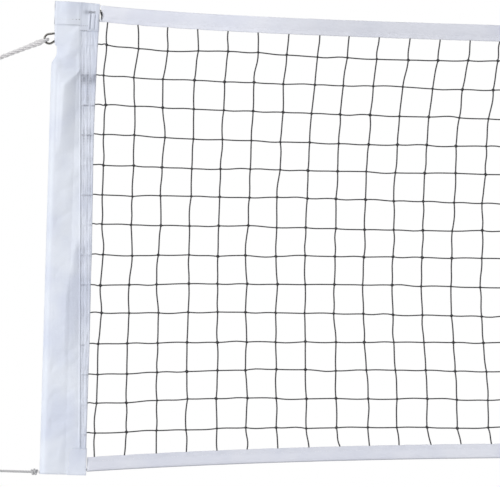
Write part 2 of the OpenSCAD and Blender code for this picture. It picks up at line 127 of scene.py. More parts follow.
def bow(share, x):
    """How far the upright twines are drawn towards the nearer side pole."""
    side = np.where(x < MIDDLE, 1, -1)
    reach = 1 - np.exp(-((from_end(x) / 620) ** 1.7))
    shape = np.interp(
        share,
        [0, 0.05, 0.12, 0.19, 0.26, 0.4, 0.5, 0.61, 0.68, 0.75, 0.82, 0.89, 0.96, 1],
        [0.15, 0.03, -0.41, -0.62, -0.77, -0.95, -0.97, -0.89, -0.73, -0.52, -0.3, -0.08, 0.04, 0.34],
    )
    fade = np.abs(np.cos(math.pi * from_end(x) / (2 * MIDDLE - 2 * LACING_END)))
    return side * 32 * reach * shape * fade


def cable_slope():
    enter = np.array([TAPE_X, tape_gap(TAPE_X)[0] + CABLE_ENTRY])
    return math.atan2(enter[1], enter[0]) + math.asin(STRAND_Z / np.linalg.norm(enter))


SLOPE = cable_slope()
AWAY = np.array([-math.cos(SLOPE), 0, -math.sin(SLOPE)])
ACROSS = np.array([-math.sin(SLOPE), 0, math.cos(SLOPE)])


def cable_height(x):
    """Height of the cable: straight from the eye to the hem, then easing down along it."""
    near = np.minimum(x, 2 * MIDDLE - x)
    straight = near * math.tan(SLOPE) - STRAND_Z / math.cos(SLOPE)
    hem = top_edge(near) - CLOTH - HEM_GAP - CABLE_R
    in_hem = top_edge(TAPE_X) - (CLOTH + HEM_GAP + CABLE_R)
    lift = in_hem - (TAPE_X * math.tan(SLOPE) - STRAND_Z / math.cos(SLOPE))
    ease = lift / (math.tan(SLOPE) + TOP_DROP / TOP_REACH)
    return np.where(near <= TAPE_X, straight, hem - lift * np.exp(-(near - TAPE_X) / ease))


def lap_edge(z):
    """Slanting edge of the sleeve's cloth over the lacing tape."""
    return LACING_X + 5 + 26 * (SLEEVE_TOP - z) / (SLEEVE_TOP - SLEEVE_BOTTOM)


def lacing_edge(z):
    """Free edge of the lacing tape, drawn in by the net between its corners."""
    return LACING_END + np.interp(
        -z,
        [-72, 0, 66, 125, 180, 250, 370, 434, 491, 617, 760, 877],
        [2.0, 0.6, -1.0, -2.0, -2.6, -2.2, -0.7, 0.3, 0.0, 0.9, 0.3, 0.0],
    )


# ---------------------------------------------------------------- mesh helpers


def at_right(points):
    """The same points at the net's other end."""
    out = np.array(points, float)
    out[:, 0] = 2 * MIDDLE - out[:, 0]
    return out


def at_end(points, right):
    """The points as they are at the left end, or mirrored to the right end."""
    return at_right(points) if right else np.array(points, float)


def link(mesh, name):
    obj = bpy.data.objects.new(name, mesh)
    bpy.context.scene.collection.objects.link(obj)
    return obj


def finish_piece(obj, material, body, stands_for=()):
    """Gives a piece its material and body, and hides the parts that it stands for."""
    if material is not None:
        obj.data.materials.clear()
        obj.data.materials.append(material)
    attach(obj, body)
    if stands_for:
        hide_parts(*stands_for)
    return obj


def new_mesh(name, points, faces, uv=None, shade_and_wear=None):
    """A smooth mesh object from points in millimetres; uv has one pair for each face corner."""
    mesh = bpy.data.meshes.new(name)
    mesh.from_pydata([tuple(p) for p in np.asarray(points, float) * MM], [], [tuple(f) for f in faces])
    mesh.polygons.foreach_set("use_smooth", [True] * len(mesh.polygons))
    if uv is not None:
        layer = mesh.uv_layers.new(name="along")
        layer.data.foreach_set("uv", np.asarray(uv, float).ravel())
    if shade_and_wear is not None:
        mesh.attributes.new("shade_and_wear", "FLOAT", "POINT").data.foreach_set("value", np.asarray(shade_and_wear, float))
    mesh.update()
    return link(mesh, name)


def grid_faces(rows, columns, skip=None, flip=False):
    """Quads of a grid of points laid out row by row."""
    r, c = np.meshgrid(np.arange(rows - 1), np.arange(columns - 1), indexing="ij")
    a = r * columns + c
    quads = np.stack([a, a + 1, a + columns + 1, a + columns], -1).reshape(-1, 4)
    if skip is not None:
        quads = quads[~skip.reshape(-1)]
    return (quads[:, ::-1] if flip else quads).tolist()


def thicken(obj):
    """Gives a cloth surface its real thickness, half to each side."""
    wall = obj.modifiers.new("Cloth thickness", "SOLIDIFY")
    wall.thickness = CLOTH * MM
    wall.offset = 0
    wall.use_even_offset = False
    return obj


def cloth(name, grid, right=False, skip=None, shade_and_wear=None, flip=False):
    """A cloth surface from a grid of points (rows, columns, 3) in millimetres."""
    rows, columns = grid.shape[:2]
    points = grid.reshape(-1, 3)
    if right:
        points = at_right(points)
    faces = grid_faces(rows, columns, skip, flip=right != flip)
    used = np.zeros(len(points), bool)
    used[np.unique(np.array(faces))] = True
    place = np.cumsum(used) - 1
    faces = place[np.array(faces)].tolist()
    kept = None if shade_and_wear is None else np.asarray(shade_and_wear, float).reshape(-1)[used]
    return thicken(new_mesh(name, points[used], faces, shade_and_wear=kept))


def smooth_route(points, step):
    """Evenly spaced points on a smooth curve through a route's points."""
    p = np.asarray(points, float)
    ends = np.vstack([2 * p[0] - p[1], p, 2 * p[-1] - p[-2]])
    fine = []
    for i in range(1, len(ends) - 2):
        a, b, c, d = ends[i - 1 : i + 3]
        t = np.linspace(0, 1, 16, endpoint=False)[:, None]
        fine.append(
            0.5 * (2 * b + (c - a) * t + (2 * a - 5 * b + 4 * c - d) * t**2 + (3 * b - a - 3 * c + d) * t**3)
        )
    fine = np.vstack(fine + [p[-1:]])
    along = np.concatenate([[0], np.cumsum(np.linalg.norm(np.diff(fine, axis=0), axis=1))])
    count = max(3, int(round(along[-1] / step)) + 1)
    where = np.linspace(0, along[-1], count)
    return np.stack([np.interp(where, along, fine[:, k]) for k in range(3)], 1)


def frames(path, first):
    """Two side vectors that don't turn about a path, at each of its points."""
    tangent = np.gradient(path, axis=0)
    tangent /= np.linalg.norm(tangent, axis=1)[:, None]
    side = np.asarray(first, float)
    sides = []
    for t in tangent:
        side = side - t * np.dot(side, t)
        side /= np.linalg.norm(side)
        sides.append(side)
    sides = np.array(sides)
    return sides, np.cross(tangent, sides)


def strand_profile(strands, per_strand, depth):
    """Outline of laid strands, as a share of the rope's radius at each angle."""
    angles = np.arange(strands * per_strand) * 2 * math.pi / (strands * per_strand)
    half = math.pi / strands
    off = (angles + half) % (2 * half) - half
    centre = 1 - depth
    return angles, centre * np.cos(off) + np.sqrt(np.maximum(depth**2 - (centre * np.sin(off)) ** 2, 0.01))


def laid_rope(path, radius, lay, strands=3, per_strand=8, depth=0.52, first=(0, 1, 0)):
    """Points, faces and face-corner UVs of a twisted rope along a path; radius may vary along it."""
    side, over = frames(path, first)
    along = np.concatenate([[0], np.cumsum(np.linalg.norm(np.diff(path, axis=0), axis=1))])
    angles, outline = strand_profile(strands, per_strand, depth)
    n, m = len(path), len(angles)
    radius = np.broadcast_to(np.asarray(radius, float), (n,))
    turn = along * 2 * math.pi / lay
    a = angles[None, :] + turn[:, None]
    reach = radius[:, None] * outline[None, :]
    points = path[:, None, :] + reach[..., None] * (
        np.cos(a)[..., None] * side[:, None, :] + np.sin(a)[..., None] * over[:, None, :]
    )
    points = points.reshape(-1, 3)
    u = along * MM * UV_PER_METRE
    faces, uv = [], []
    for i in range(n - 1):
        for k in range(m):
            q = (k + 1) % m
            faces.append((i * m + k, i * m + q, (i + 1) * m + q, (i + 1) * m + k))
            v0, v1 = k / m, (k + 1) / m
            uv += [(u[i], v0), (u[i], v1), (u[i + 1], v1), (u[i + 1], v0)]
    for i, order in ((0, -1), (n - 1, 1)):
        centre = len(points)
        points = np.vstack([points, path[i : i + 1]])
        for k in range(m):
            pair = (i * m + k, i * m + (k + 1) % m)[::order]
            faces.append((*pair, centre))
            uv += [(u[i], k / m)] * 3
    return points, faces, uv


def plain_tube(path, radius):
    """Points, faces and UVs of a smooth tube."""
    return laid_rope(path, radius, 1e9, strands=1, per_strand=8, depth=1.0)


def other_end(part):
    """The same part at the net's other end, with its faces outwards."""
    points, faces, uv = part
    return at_right(points), [tuple(reversed(face)) for face in faces], uv


def join_parts(parts):
    """Several (points, faces, uv) in one."""
    points, faces, uv = [], [], []
    offset = 0
    for p, f, u in parts:
        points.append(p)
        faces += [tuple(i + offset for i in face) for face in f]
        uv += u
        offset += len(p)
    return np.vstack(points), faces, uv


def rope_piece(name, parts, right, material, body, stands_for):
    """One piece from its parts, built at the left end and mirrored where it is the right one."""
    points, faces, uv = join_parts(parts)
    if right:
        flipped, start = [], 0
        for face in faces:
            flipped += list(reversed(uv[start : start + len(face)]))
            start += len(face)
        points, faces, uv = other_end((points, faces, flipped))
    obj = new_mesh(name, points, faces, uv)
    return finish_piece(obj, material, body, stands_for)


def tie_pieces(side, tie, rope, rows):
    """The pieces of one tie rope, from rows of name, part and node."""
    right, body = side == "right", f"{side}_{tie}"
    return [
        rope_piece(f"{side}_{name}", [part], right, rope, body, [f"{side}_{node}"])
        for name, part, node in rows
    ]


# ---------------------------------------------------------------- nodes


def add(tree, kind, settings=None, links=None):
    """Adds a node with its settings and links; a link's value is a socket or a plain value."""
    new = tree.nodes.new(kind)
    for key, value in (settings or {}).items():
        setattr(new, key, value)
    for key, value in (links or {}).items():
        socket = new.inputs[key]
        if isinstance(value, bpy.types.NodeSocket):
            tree.links.new(value, socket)
        else:
            socket.default_value = value
    return new


def surface(name, roughness, metallic=0.0, **shader):
    """A material with its shader; returns it with its tree and shader node."""
    material = bpy.data.materials.new(name)
    material.use_nodes = True
    tree = material.node_tree
    bsdf = tree.nodes["Principled BSDF"]
    bsdf.inputs["Roughness"].default_value = roughness
    bsdf.inputs["Metallic"].default_value = metallic
    for key, value in shader.items():
        bsdf.inputs[key.replace("_", " ")].default_value = value
    return material, tree, bsdf


def tone(tree, pattern, low, high, first, second):
    """The colour that turns smoothly from first to second while a pattern goes from low to high."""
    step = add(
        tree,
        "ShaderNodeMapRange",
        {"interpolation_type": "SMOOTHSTEP"},
        {"Value": pattern, "From Min": low, "From Max": high},
    )
    return add(
        tree, "ShaderNodeMix", {"data_type": "RGBA"}, {0: step.outputs[0], 6: first, 7: second}
    ).outputs[2]


# Waves of about 3 mm, the spacing at which the cloth's weave is drawn
WEAVE_SCALE = 330.0 / 3


def coated_cloth(name, base, shade, wrinkle):
    """PVC-coated polyester cloth: a smooth satin film over a plain weave.
    The weave shows as a faint grid, drawn at 3 mm, coarser than the real 0.8 mm, so that it reads at this
    size; the film creases softly, which the slow bump gives, and painted shade darkens its folds and seams."""
    material, tree, bsdf = surface(name, 0.42, Specular_IOR_Level=0.3, Sheen_Weight=0.05, Sheen_Roughness=0.5)
    place = add(tree, "ShaderNodeTexCoord").outputs["Object"]
    slow = add(tree, "ShaderNodeTexNoise", None, {"Vector": place, "Scale": 9.0, "Detail": 3.0})
    clean = tone(tree, slow.outputs["Fac"], 0.35, 0.7, base, shade)
    shade_and_wear_share = add(tree, "ShaderNodeAttribute", {"attribute_name": "shade_and_wear"}).outputs["Fac"]
    # painted shade: the attribute read above mixes in a dark bluish colour that paints shade in folds, seams
    # and hollows
    wear_and_light = add(tree, "ShaderNodeMix", {"data_type": "RGBA"}, {0: shade_and_wear_share, 6: clean, 7: linear("#474c60")})
    threads = add(tree, "ShaderNodeMath", {"operation": "ADD"})
    for i, direction in enumerate("XZ"):
        bands = add(
            tree,
            "ShaderNodeTexWave",
            {"bands_direction": direction},
            {"Vector": place, "Scale": WEAVE_SCALE},
        )
        tree.links.new(bands.outputs["Fac"], threads.inputs[i])
    folds = add(
        tree, "ShaderNodeTexNoise", None, {"Vector": place, "Scale": 26.0, "Detail": 3.0, "Distortion": 0.6}
    )
    tree.links.new(wear_and_light.outputs[2], bsdf.inputs["Base Color"])
    grain = add(
        tree, "ShaderNodeBump", None, {"Strength": 0.2, "Distance": 0.0002, "Height": threads.outputs[0]}
    )
    crease = add(
        tree,
        "ShaderNodeBump",
        None,
        {
            "Strength": wrinkle,
            "Distance": 0.004,
            "Height": folds.outputs["Fac"],
            "Normal": grain.outputs["Normal"],
        },
    )
    tree.links.new(crease.outputs["Normal"], bsdf.inputs["Normal"])
    return material


def twisted_twine(name, base, fleck):
    """Black polyethylene twine: waxy filaments twisted in two strands, with a lay of 9 mm.
    The strands' tops catch the light as small pale flecks."""
    material, tree, bsdf = surface(name, 0.5, Specular_IOR_Level=0.45)
    ring = add(tree, "ShaderNodeAttribute", {"attribute_name": "ring"}).outputs["Vector"]
    along = add(tree, "ShaderNodeAttribute", {"attribute_name": "run"}).outputs["Fac"]
    turn = add(tree, "ShaderNodeMath", {"operation": "MULTIPLY"}, {0: along, 1: 2 * math.pi / 0.009})
    cosine = add(tree, "ShaderNodeMath", {"operation": "COSINE"}, {0: turn.outputs[0]})
    sine = add(tree, "ShaderNodeMath", {"operation": "SINE"}, {0: turn.outputs[0]})
    spin = add(tree, "ShaderNodeCombineXYZ", None, {0: cosine.outputs[0], 1: sine.outputs[0]})
    facing = add(tree, "ShaderNodeVectorMath", {"operation": "DOT_PRODUCT"}, {0: ring, 1: spin.outputs[0]})
    strand = add(tree, "ShaderNodeMath", {"operation": "ABSOLUTE"}, {0: facing.outputs["Value"]}).outputs[0]
    place = add(tree, "ShaderNodeTexCoord").outputs["Object"]
    hair = add(
        tree, "ShaderNodeTexNoise", None, {"Vector": place, "Scale": 260.0, "Detail": 2.0}
    ).outputs["Fac"]
    # painted highlight: the pale flecks on the strands' tops
    wear_and_light = add(tree, "ShaderNodeMath", {"operation": "MULTIPLY"})
    for i, (pattern, low, high) in enumerate(((strand, 0.55, 1.0), (hair, 0.4, 0.7))):
        step = add(
            tree,
            "ShaderNodeMapRange",
            {"interpolation_type": "SMOOTHSTEP"},
            {"Value": pattern, "From Min": low, "From Max": high},
        )
        tree.links.new(step.outputs[0], wear_and_light.inputs[i])
    colour = add(tree, "ShaderNodeMix", {"data_type": "RGBA"}, {0: wear_and_light.outputs[0], 6: base, 7: fleck})
    tree.links.new(colour.outputs[2], bsdf.inputs["Base Color"])
    bump = add(tree, "ShaderNodeBump", None, {"Strength": 0.8, "Distance": 0.0006, "Height": strand})
    tree.links.new(bump.outputs["Normal"], bsdf.inputs["Normal"])
    return material


def spun_rope(name, base, groove, strand_gap_shade, fibres):
    """Laid polyamide rope: matt white filaments that run along each strand.
    Painted shade darkens the grooves between the strands."""
    material, tree, bsdf = surface(name, 0.62, Sheen_Weight=0.2, Sheen_Roughness=0.4, Specular_IOR_Level=0.3)
    place = add(tree, "ShaderNodeUVMap", {"uv_map": "along"}).outputs["UV"]
    stretched = add(tree, "ShaderNodeMapping", None, {"Vector": place, "Scale": (14.0, fibres, 1.0)})
    streak = add(
        tree, "ShaderNodeTexNoise", None, {"Vector": stretched.outputs[0], "Scale": 3.0, "Detail": 4.0}
    )
    fibre = tone(tree, streak.outputs["Fac"], 0.3, 0.65, groove, base)
    around = add(tree, "ShaderNodeSeparateXYZ", None, {0: place})
    strand = add(tree, "ShaderNodeMath", {"operation": "MULTIPLY"}, {0: around.outputs["Y"], 1: 3.0})
    valley = add(tree, "ShaderNodeMath", {"operation": "PINGPONG"}, {0: strand.outputs[0], 1: 0.5})
    colour = tone(tree, valley.outputs[0], 0.36, 0.52, fibre, strand_gap_shade)
    tree.links.new(colour, bsdf.inputs["Base Color"])
    bump = add(
        tree, "ShaderNodeBump", None, {"Strength": 0.6, "Distance": 0.0006, "Height": streak.outputs["Fac"]}
    )
    tree.links.new(bump.outputs["Normal"], bsdf.inputs["Normal"])
    return material


def drawn_metal(name, base, tarnish, roughness, grain, along):
    """Bare metal drawn or brushed lengthwise: fine scratches along one axis and patchy dulling."""
    material, tree, bsdf = surface(name, roughness, 1.0)
    place = add(tree, "ShaderNodeTexCoord").outputs["Object"]
    scale = tuple(grain * (0.04 if k == along else 1.0) for k in range(3))
    drawn = add(tree, "ShaderNodeMapping", None, {"Vector": place, "Scale": scale})
    scratch = add(tree, "ShaderNodeTexNoise", None, {"Vector": drawn.outputs[0], "Scale": 1.0, "Detail": 3.0})
    dull = add(tree, "ShaderNodeTexNoise", None, {"Vector": place, "Scale": 90.0, "Detail": 3.0})
    rough = add(
        tree,
        "ShaderNodeMapRange",
        None,
        {"Value": scratch.outputs["Fac"], "To Min": roughness - 0.08, "To Max": roughness + 0.12},
    )
    tree.links.new(rough.outputs[0], bsdf.inputs["Roughness"])
    colour = tone(tree, dull.outputs["Fac"], 0.42, 0.7, base, tarnish)
    tree.links.new(colour, bsdf.inputs["Base Color"])
    bump = add(
        tree, "ShaderNodeBump", None, {"Strength": 0.25, "Distance": 0.0002, "Height": scratch.outputs["Fac"]}
    )
    tree.links.new(bump.outputs["Normal"], bsdf.inputs["Normal"])
    return material


def wire_rope(name, base, groove):
    """Galvanised wire rope: six bundles of dull wires, with painted shade in the grooves between them."""
    material, tree, bsdf = surface(name, 0.45, 0.55)
    place = add(
        tree, "ShaderNodeSeparateXYZ", None, {0: add(tree, "ShaderNodeUVMap", {"uv_map": "along"}).outputs[0]}
    )
    bundle = add(tree, "ShaderNodeMath", {"operation": "MULTIPLY"}, {0: place.outputs["Y"], 1: 6.0})
    ridge = add(tree, "ShaderNodeMath", {"operation": "PINGPONG"}, {0: bundle.outputs[0], 1: 0.5})
    object_place = add(tree, "ShaderNodeTexCoord").outputs["Object"]
    wires = add(tree, "ShaderNodeTexNoise", None, {"Vector": object_place, "Scale": 1500.0, "Detail": 1.0})
    colour = tone(tree, ridge.outputs[0], 0.42, 0.05, groove, base)
    tree.links.new(colour, bsdf.inputs["Base Color"])
    bump = add(
        tree, "ShaderNodeBump", None, {"Strength": 0.5, "Distance": 0.0003, "Height": wires.outputs["Fac"]}
    )
    tree.links.new(bump.outputs["Normal"], bsdf.inputs["Normal"])
    return material


def moulded_plastic(name, base, wear_and_light):
    """Injection-moulded polyethylene: fine orange-peel grain, scuffed pale in spots."""
    material, tree, bsdf = surface(name, 0.48, Specular_IOR_Level=0.45)
    place = add(tree, "ShaderNodeTexCoord").outputs["Object"]
    scuff = add(tree, "ShaderNodeTexNoise", None, {"Vector": place, "Scale": 180.0, "Detail": 4.0})
    colour = tone(tree, scuff.outputs["Fac"], 0.58, 0.8, base, wear_and_light)
    grain = add(tree, "ShaderNodeTexNoise", None, {"Vector": place, "Scale": 1400.0})
    tree.links.new(colour, bsdf.inputs["Base Color"])
    bump = add(
        tree, "ShaderNodeBump", None, {"Strength": 0.2, "Distance": 0.0002, "Height": grain.outputs["Fac"]}
    )
    tree.links.new(bump.outputs["Normal"], bsdf.inputs["Normal"])
    return material


def sewing_thread(name, base, shade):
    """Twisted polyester sewing thread with a slight gloss."""
    material, tree, bsdf = surface(name, 0.4, Specular_IOR_Level=0.5)
    place = add(tree, "ShaderNodeTexCoord").outputs["Object"]
    twist = add(tree, "ShaderNodeTexNoise", None, {"Vector": place, "Scale": 900.0, "Detail": 2.0})
    colour = tone(tree, twist.outputs["Fac"], 0.35, 0.65, shade, base)
    tree.links.new(colour, bsdf.inputs["Base Color"])
    bump = add(
        tree, "ShaderNodeBump", None, {"Strength": 0.4, "Distance": 0.0002, "Height": twist.outputs["Fac"]}
    )
    tree.links.new(bump.outputs["Normal"], bsdf.inputs["Normal"])
    return material


def finishes():
    """The materials, made once."""
    c = bpy.context.scene.net_colours
    if "Coated polyester sleeve cloth" not in bpy.data.materials:
        coated_cloth("Coated polyester sleeve cloth", c.sleeve, c.sleeve_shade, 0.22)
        coated_cloth("Coated polyester binding tape", c.tape, c.tape_shade, 0.15)
        coated_cloth("Coated polyester lacing tape", c.lacing, c.lacing_shade, 0.4)
        twisted_twine("Twisted polyethylene twine", c.twine, c.twine_fleck)
        # the third colour of each rope paints the shade in its strands' grooves
        spun_rope("Laid polyamide tie rope", c.rope, c.rope_groove, linear("#96949c"), 60.0)
        spun_rope("Laid polyester hem cord", c.thin_rope, c.thin_rope_groove, linear("#85858b"), 40.0)
        wire_rope("Galvanised wire rope", linear("#d2d0cd"), linear("#4c4a47"))
        # the thimble's steel is coloured dark to paint the shade on its flange
        drawn_metal("Shade-darkened galvanised steel", linear("#4b4946"), linear("#2c2b29"), 0.42, 500.0, 1)
        drawn_metal("Swaged aluminium", linear("#b9babd"), linear("#a2a4a8"), 0.36, 600.0, 0)
        drawn_metal("Drawn aluminium tube", linear("#b2b5b9"), linear("#a4a7ac"), 0.34, 700.0, 2)
        moulded_plastic("Moulded black polyethylene", linear("#26272a"), linear("#4a4b4f"))
        sewing_thread("Polyester sewing thread", c.thread, c.thread_shade)
        # grey thread that paints the shade in the needle dents of some seams
        sewing_thread("Shade-darkened sewing thread", linear("#8f929b"), linear("#5d6068"))
    return bpy.data.materials


# ---------------------------------------------------------------- geometry nodes


def new_tree(name, inputs):
    """A geometry tree with named inputs; returns the tree, its input node and its output node."""
    tree = bpy.data.node_groups.new(name, "GeometryNodeTree")
    tree.interface.new_socket("Geometry", in_out="INPUT", socket_type="NodeSocketGeometry")
    for label, kind, value in inputs:
        socket = tree.interface.new_socket(label, in_out="INPUT", socket_type=kind)
        if value is not None:
            socket.default_value = value
    tree.interface.new_socket("Geometry", in_out="OUTPUT", socket_type="NodeSocketGeometry")
    return tree, tree.nodes.new("NodeGroupInput"), tree.nodes.new("NodeGroupOutput")


def twine_tree():
    """Round twine along every line of a wire mesh, with a knot at each marked point."""
    if "Netting twine" in bpy.data.node_groups:
        return bpy.data.node_groups["Netting twine"]
    tree, given, out = new_tree(
        "Netting twine",
        [
            ("Twine thickness", "NodeSocketFloat", 0.0033),
            ("Knot size", "NodeSocketFloat", 0.0029),
            ("Seed", "NodeSocketInt", 4),
            ("Material", "NodeSocketMaterial", None),
        ],
    )
    lines = add(tree, "GeometryNodeMeshToCurve", None, {"Mesh": given.outputs["Geometry"]})
    run = add(tree, "GeometryNodeSplineParameter")
    marked = add(
        tree,
        "GeometryNodeStoreNamedAttribute",
        {"data_type": "FLOAT", "domain": "POINT"},
        {"Geometry": lines.outputs[0], "Name": "run", "Value": run.outputs["Length"]},
    )
    half = add(
        tree, "ShaderNodeMath", {"operation": "MULTIPLY"}, {0: given.outputs["Twine thickness"], 1: 0.5}
    )
    circle = add(
        tree, "GeometryNodeCurvePrimitiveCircle", {"mode": "RADIUS"}, {"Resolution": 6, "Radius": 1.0}
    )
    spot = add(tree, "GeometryNodeInputPosition")
    ringed = add(
        tree,
        "GeometryNodeStoreNamedAttribute",
        {"data_type": "FLOAT_VECTOR", "domain": "POINT"},
        {"Geometry": circle.outputs[0], "Name": "ring", "Value": spot.outputs[0]},
    )
    scaled = add(tree, "GeometryNodeTransform", None, {"Geometry": ringed.outputs[0]})
    size = add(tree, "ShaderNodeCombineXYZ", None, {0: half.outputs[0], 1: half.outputs[0], 2: 1.0})
    tree.links.new(size.outputs[0], scaled.inputs["Scale"])
    tube = add(
        tree,
        "GeometryNodeCurveToMesh",
        None,
        {"Curve": marked.outputs[0], "Profile Curve": scaled.outputs[0], "Fill Caps": True},
    )
    is_knot = add(tree, "GeometryNodeInputNamedAttribute", {"data_type": "FLOAT"}, {"Name": "knot"})
    chosen = add(
        tree,
        "FunctionNodeCompare",
        {"data_type": "FLOAT", "operation": "GREATER_THAN"},
        {0: is_knot.outputs[0], 1: 0.5},
    )
    spots = add(
        tree,
        "GeometryNodeMeshToPoints",
        None,
        {"Mesh": given.outputs["Geometry"], "Selection": chosen.outputs[0]},
    )
    ball = add(tree, "GeometryNodeMeshUVSphere", None, {"Segments": 8, "Rings": 5, "Radius": 1.0})
    lump = add(tree, "ShaderNodeTexNoise", None, {"Scale": 1.3, "Detail": 1.0})
    push = add(
        tree,
        "ShaderNodeVectorMath",
        {"operation": "SUBTRACT"},
        {0: lump.outputs["Color"], 1: (0.5, 0.5, 0.5)},
    )
    rough = add(
        tree, "GeometryNodeSetPosition", None, {"Geometry": ball.outputs[0], "Offset": push.outputs[0]}
    )
    turn = add(
        tree,
        "FunctionNodeRandomValue",
        {"data_type": "FLOAT_VECTOR"},
        {0: (-0.5, -0.5, -0.5), 1: (0.5, 0.5, 0.5), "Seed": given.outputs["Seed"]},
    )
    grow = add(
        tree,
        "FunctionNodeRandomValue",
        {"data_type": "FLOAT"},
        {2: 0.85, 3: 1.2, "Seed": given.outputs["Seed"]},
    )
    knot_size = add(
        tree, "ShaderNodeMath", {"operation": "MULTIPLY"}, {0: grow.outputs[1], 1: given.outputs["Knot size"]}
    )
    squash = add(
        tree,
        "ShaderNodeVectorMath",
        {"operation": "SCALE"},
        {0: (1.15, 0.8, 1.0), "Scale": knot_size.outputs[0]},
    )
    knots = add(
        tree,
        "GeometryNodeInstanceOnPoints",
        None,
        {
            "Points": spots.outputs[0],
            "Instance": rough.outputs[0],
            "Rotation": turn.outputs[0],
            "Scale": squash.outputs[0],
        },
    )
    both = add(tree, "GeometryNodeJoinGeometry")
    tree.links.new(knots.outputs[0], both.inputs[0])
    tree.links.new(tube.outputs[0], both.inputs[0])
    real = add(tree, "GeometryNodeRealizeInstances", None, {0: both.outputs[0]})
    soft = add(tree, "GeometryNodeSetShadeSmooth", None, {0: real.outputs[0]})
    done = add(
        tree,
        "GeometryNodeSetMaterial",
        None,
        {"Geometry": soft.outputs[0], "Material": given.outputs["Material"]},
    )
    tree.links.new(done.outputs[0], out.inputs[0])
    return tree


def stitch_tree():
    """Equal stitches of thread along every line of a wire mesh."""
    if "Stitches" in bpy.data.node_groups:
        return bpy.data.node_groups["Stitches"]
    tree, given, out = new_tree(
        "Stitches",
        [
            ("Stitch pitch", "NodeSocketFloat", 0.005),
            ("Stitch length", "NodeSocketFloat", 0.0034),
            ("Thread thickness", "NodeSocketFloat", 0.0008),
            ("Material", "NodeSocketMaterial", None),
        ],
    )
    lines = add(tree, "GeometryNodeMeshToCurve", None, {"Mesh": given.outputs["Geometry"]})
    spots = add(
        tree,
        "GeometryNodeCurveToPoints",
        {"mode": "LENGTH"},
        {"Curve": lines.outputs[0], "Length": given.outputs["Stitch pitch"]},
    )
    bead = add(tree, "GeometryNodeMeshUVSphere", None, {"Segments": 6, "Rings": 4, "Radius": 0.5})
    size = add(
        tree,
        "ShaderNodeCombineXYZ",
        None,
        {
            0: given.outputs["Thread thickness"],
            1: given.outputs["Thread thickness"],
            2: given.outputs["Stitch length"],
        },
    )
    aim = add(tree, "FunctionNodeAlignRotationToVector", {"axis": "Z"}, {"Vector": spots.outputs["Tangent"]})
    sewn = add(
        tree,
        "GeometryNodeInstanceOnPoints",
        None,
        {
            "Points": spots.outputs[0],
            "Instance": bead.outputs[0],
            "Rotation": aim.outputs[0],
            "Scale": size.outputs[0],
        },
    )
    real = add(tree, "GeometryNodeRealizeInstances", None, {0: sewn.outputs[0]})
    soft = add(tree, "GeometryNodeSetShadeSmooth", None, {0: real.outputs[0]})
    done = add(
        tree,
        "GeometryNodeSetMaterial",
        None,
        {"Geometry": soft.outputs[0], "Material": given.outputs["Material"]},
    )
    tree.links.new(done.outputs[0], out.inputs[0])
    return tree


def wire_mesh(name, lines, knots=None):
    """Lines of points in millimetres as a mesh of edges; knots marks points that get a knot."""
    points, edges, marks = [], [], []
    offset = 0
    for n, line in enumerate(lines):
        points.append(np.asarray(line, float))
        edges += [(offset + i, offset + i + 1) for i in range(len(line) - 1)]
        marks.append(np.zeros(len(line)) if knots is None else np.asarray(knots[n], float))
        offset += len(line)
    mesh = bpy.data.meshes.new(name)
    mesh.from_pydata([tuple(p) for p in np.vstack(points) * MM], edges, [])
    mesh.attributes.new("knot", "FLOAT", "POINT").data.foreach_set("value", np.concatenate(marks))
    return link(mesh, name)


def run_tree(source, name, tree, values):
    """The plain mesh that a geometry tree makes from a source object, which is then removed."""
    modifier = source.modifiers.new(tree.name, "NODES")
    modifier.node_group = tree
    for item in tree.interface.items_tree:
        if item.item_type == "SOCKET" and item.in_out == "INPUT" and item.name in values:
            modifier[item.identifier] = values[item.name]
    bpy.context.view_layer.update()
    made = source.evaluated_get(bpy.context.evaluated_depsgraph_get())
    mesh = bpy.data.meshes.new_from_object(made)
    mesh.name = name
    source.modifiers.remove(modifier)
    old = source.data
    bpy.data.objects.remove(source)
    bpy.data.meshes.remove(old)
    return link(mesh, name)


def sew(name, lines, material="Polyester sewing thread", pitch=None, length=None):
    """Stitches of thread along lines of points in millimetres."""
    s = bpy.context.scene.net_sizes
    made = run_tree(
        wire_mesh(name + "_lines", lines),
        name,
        stitch_tree(),
        {
            "Stitch pitch": pitch or s.stitch_pitch,
            "Stitch length": length or s.stitch_length,
            "Thread thickness": s.thread,
            "Material": finishes()[material],
        },
    )
    return finish_piece(made, None, "net")


# ---------------------------------------------------------------- properties


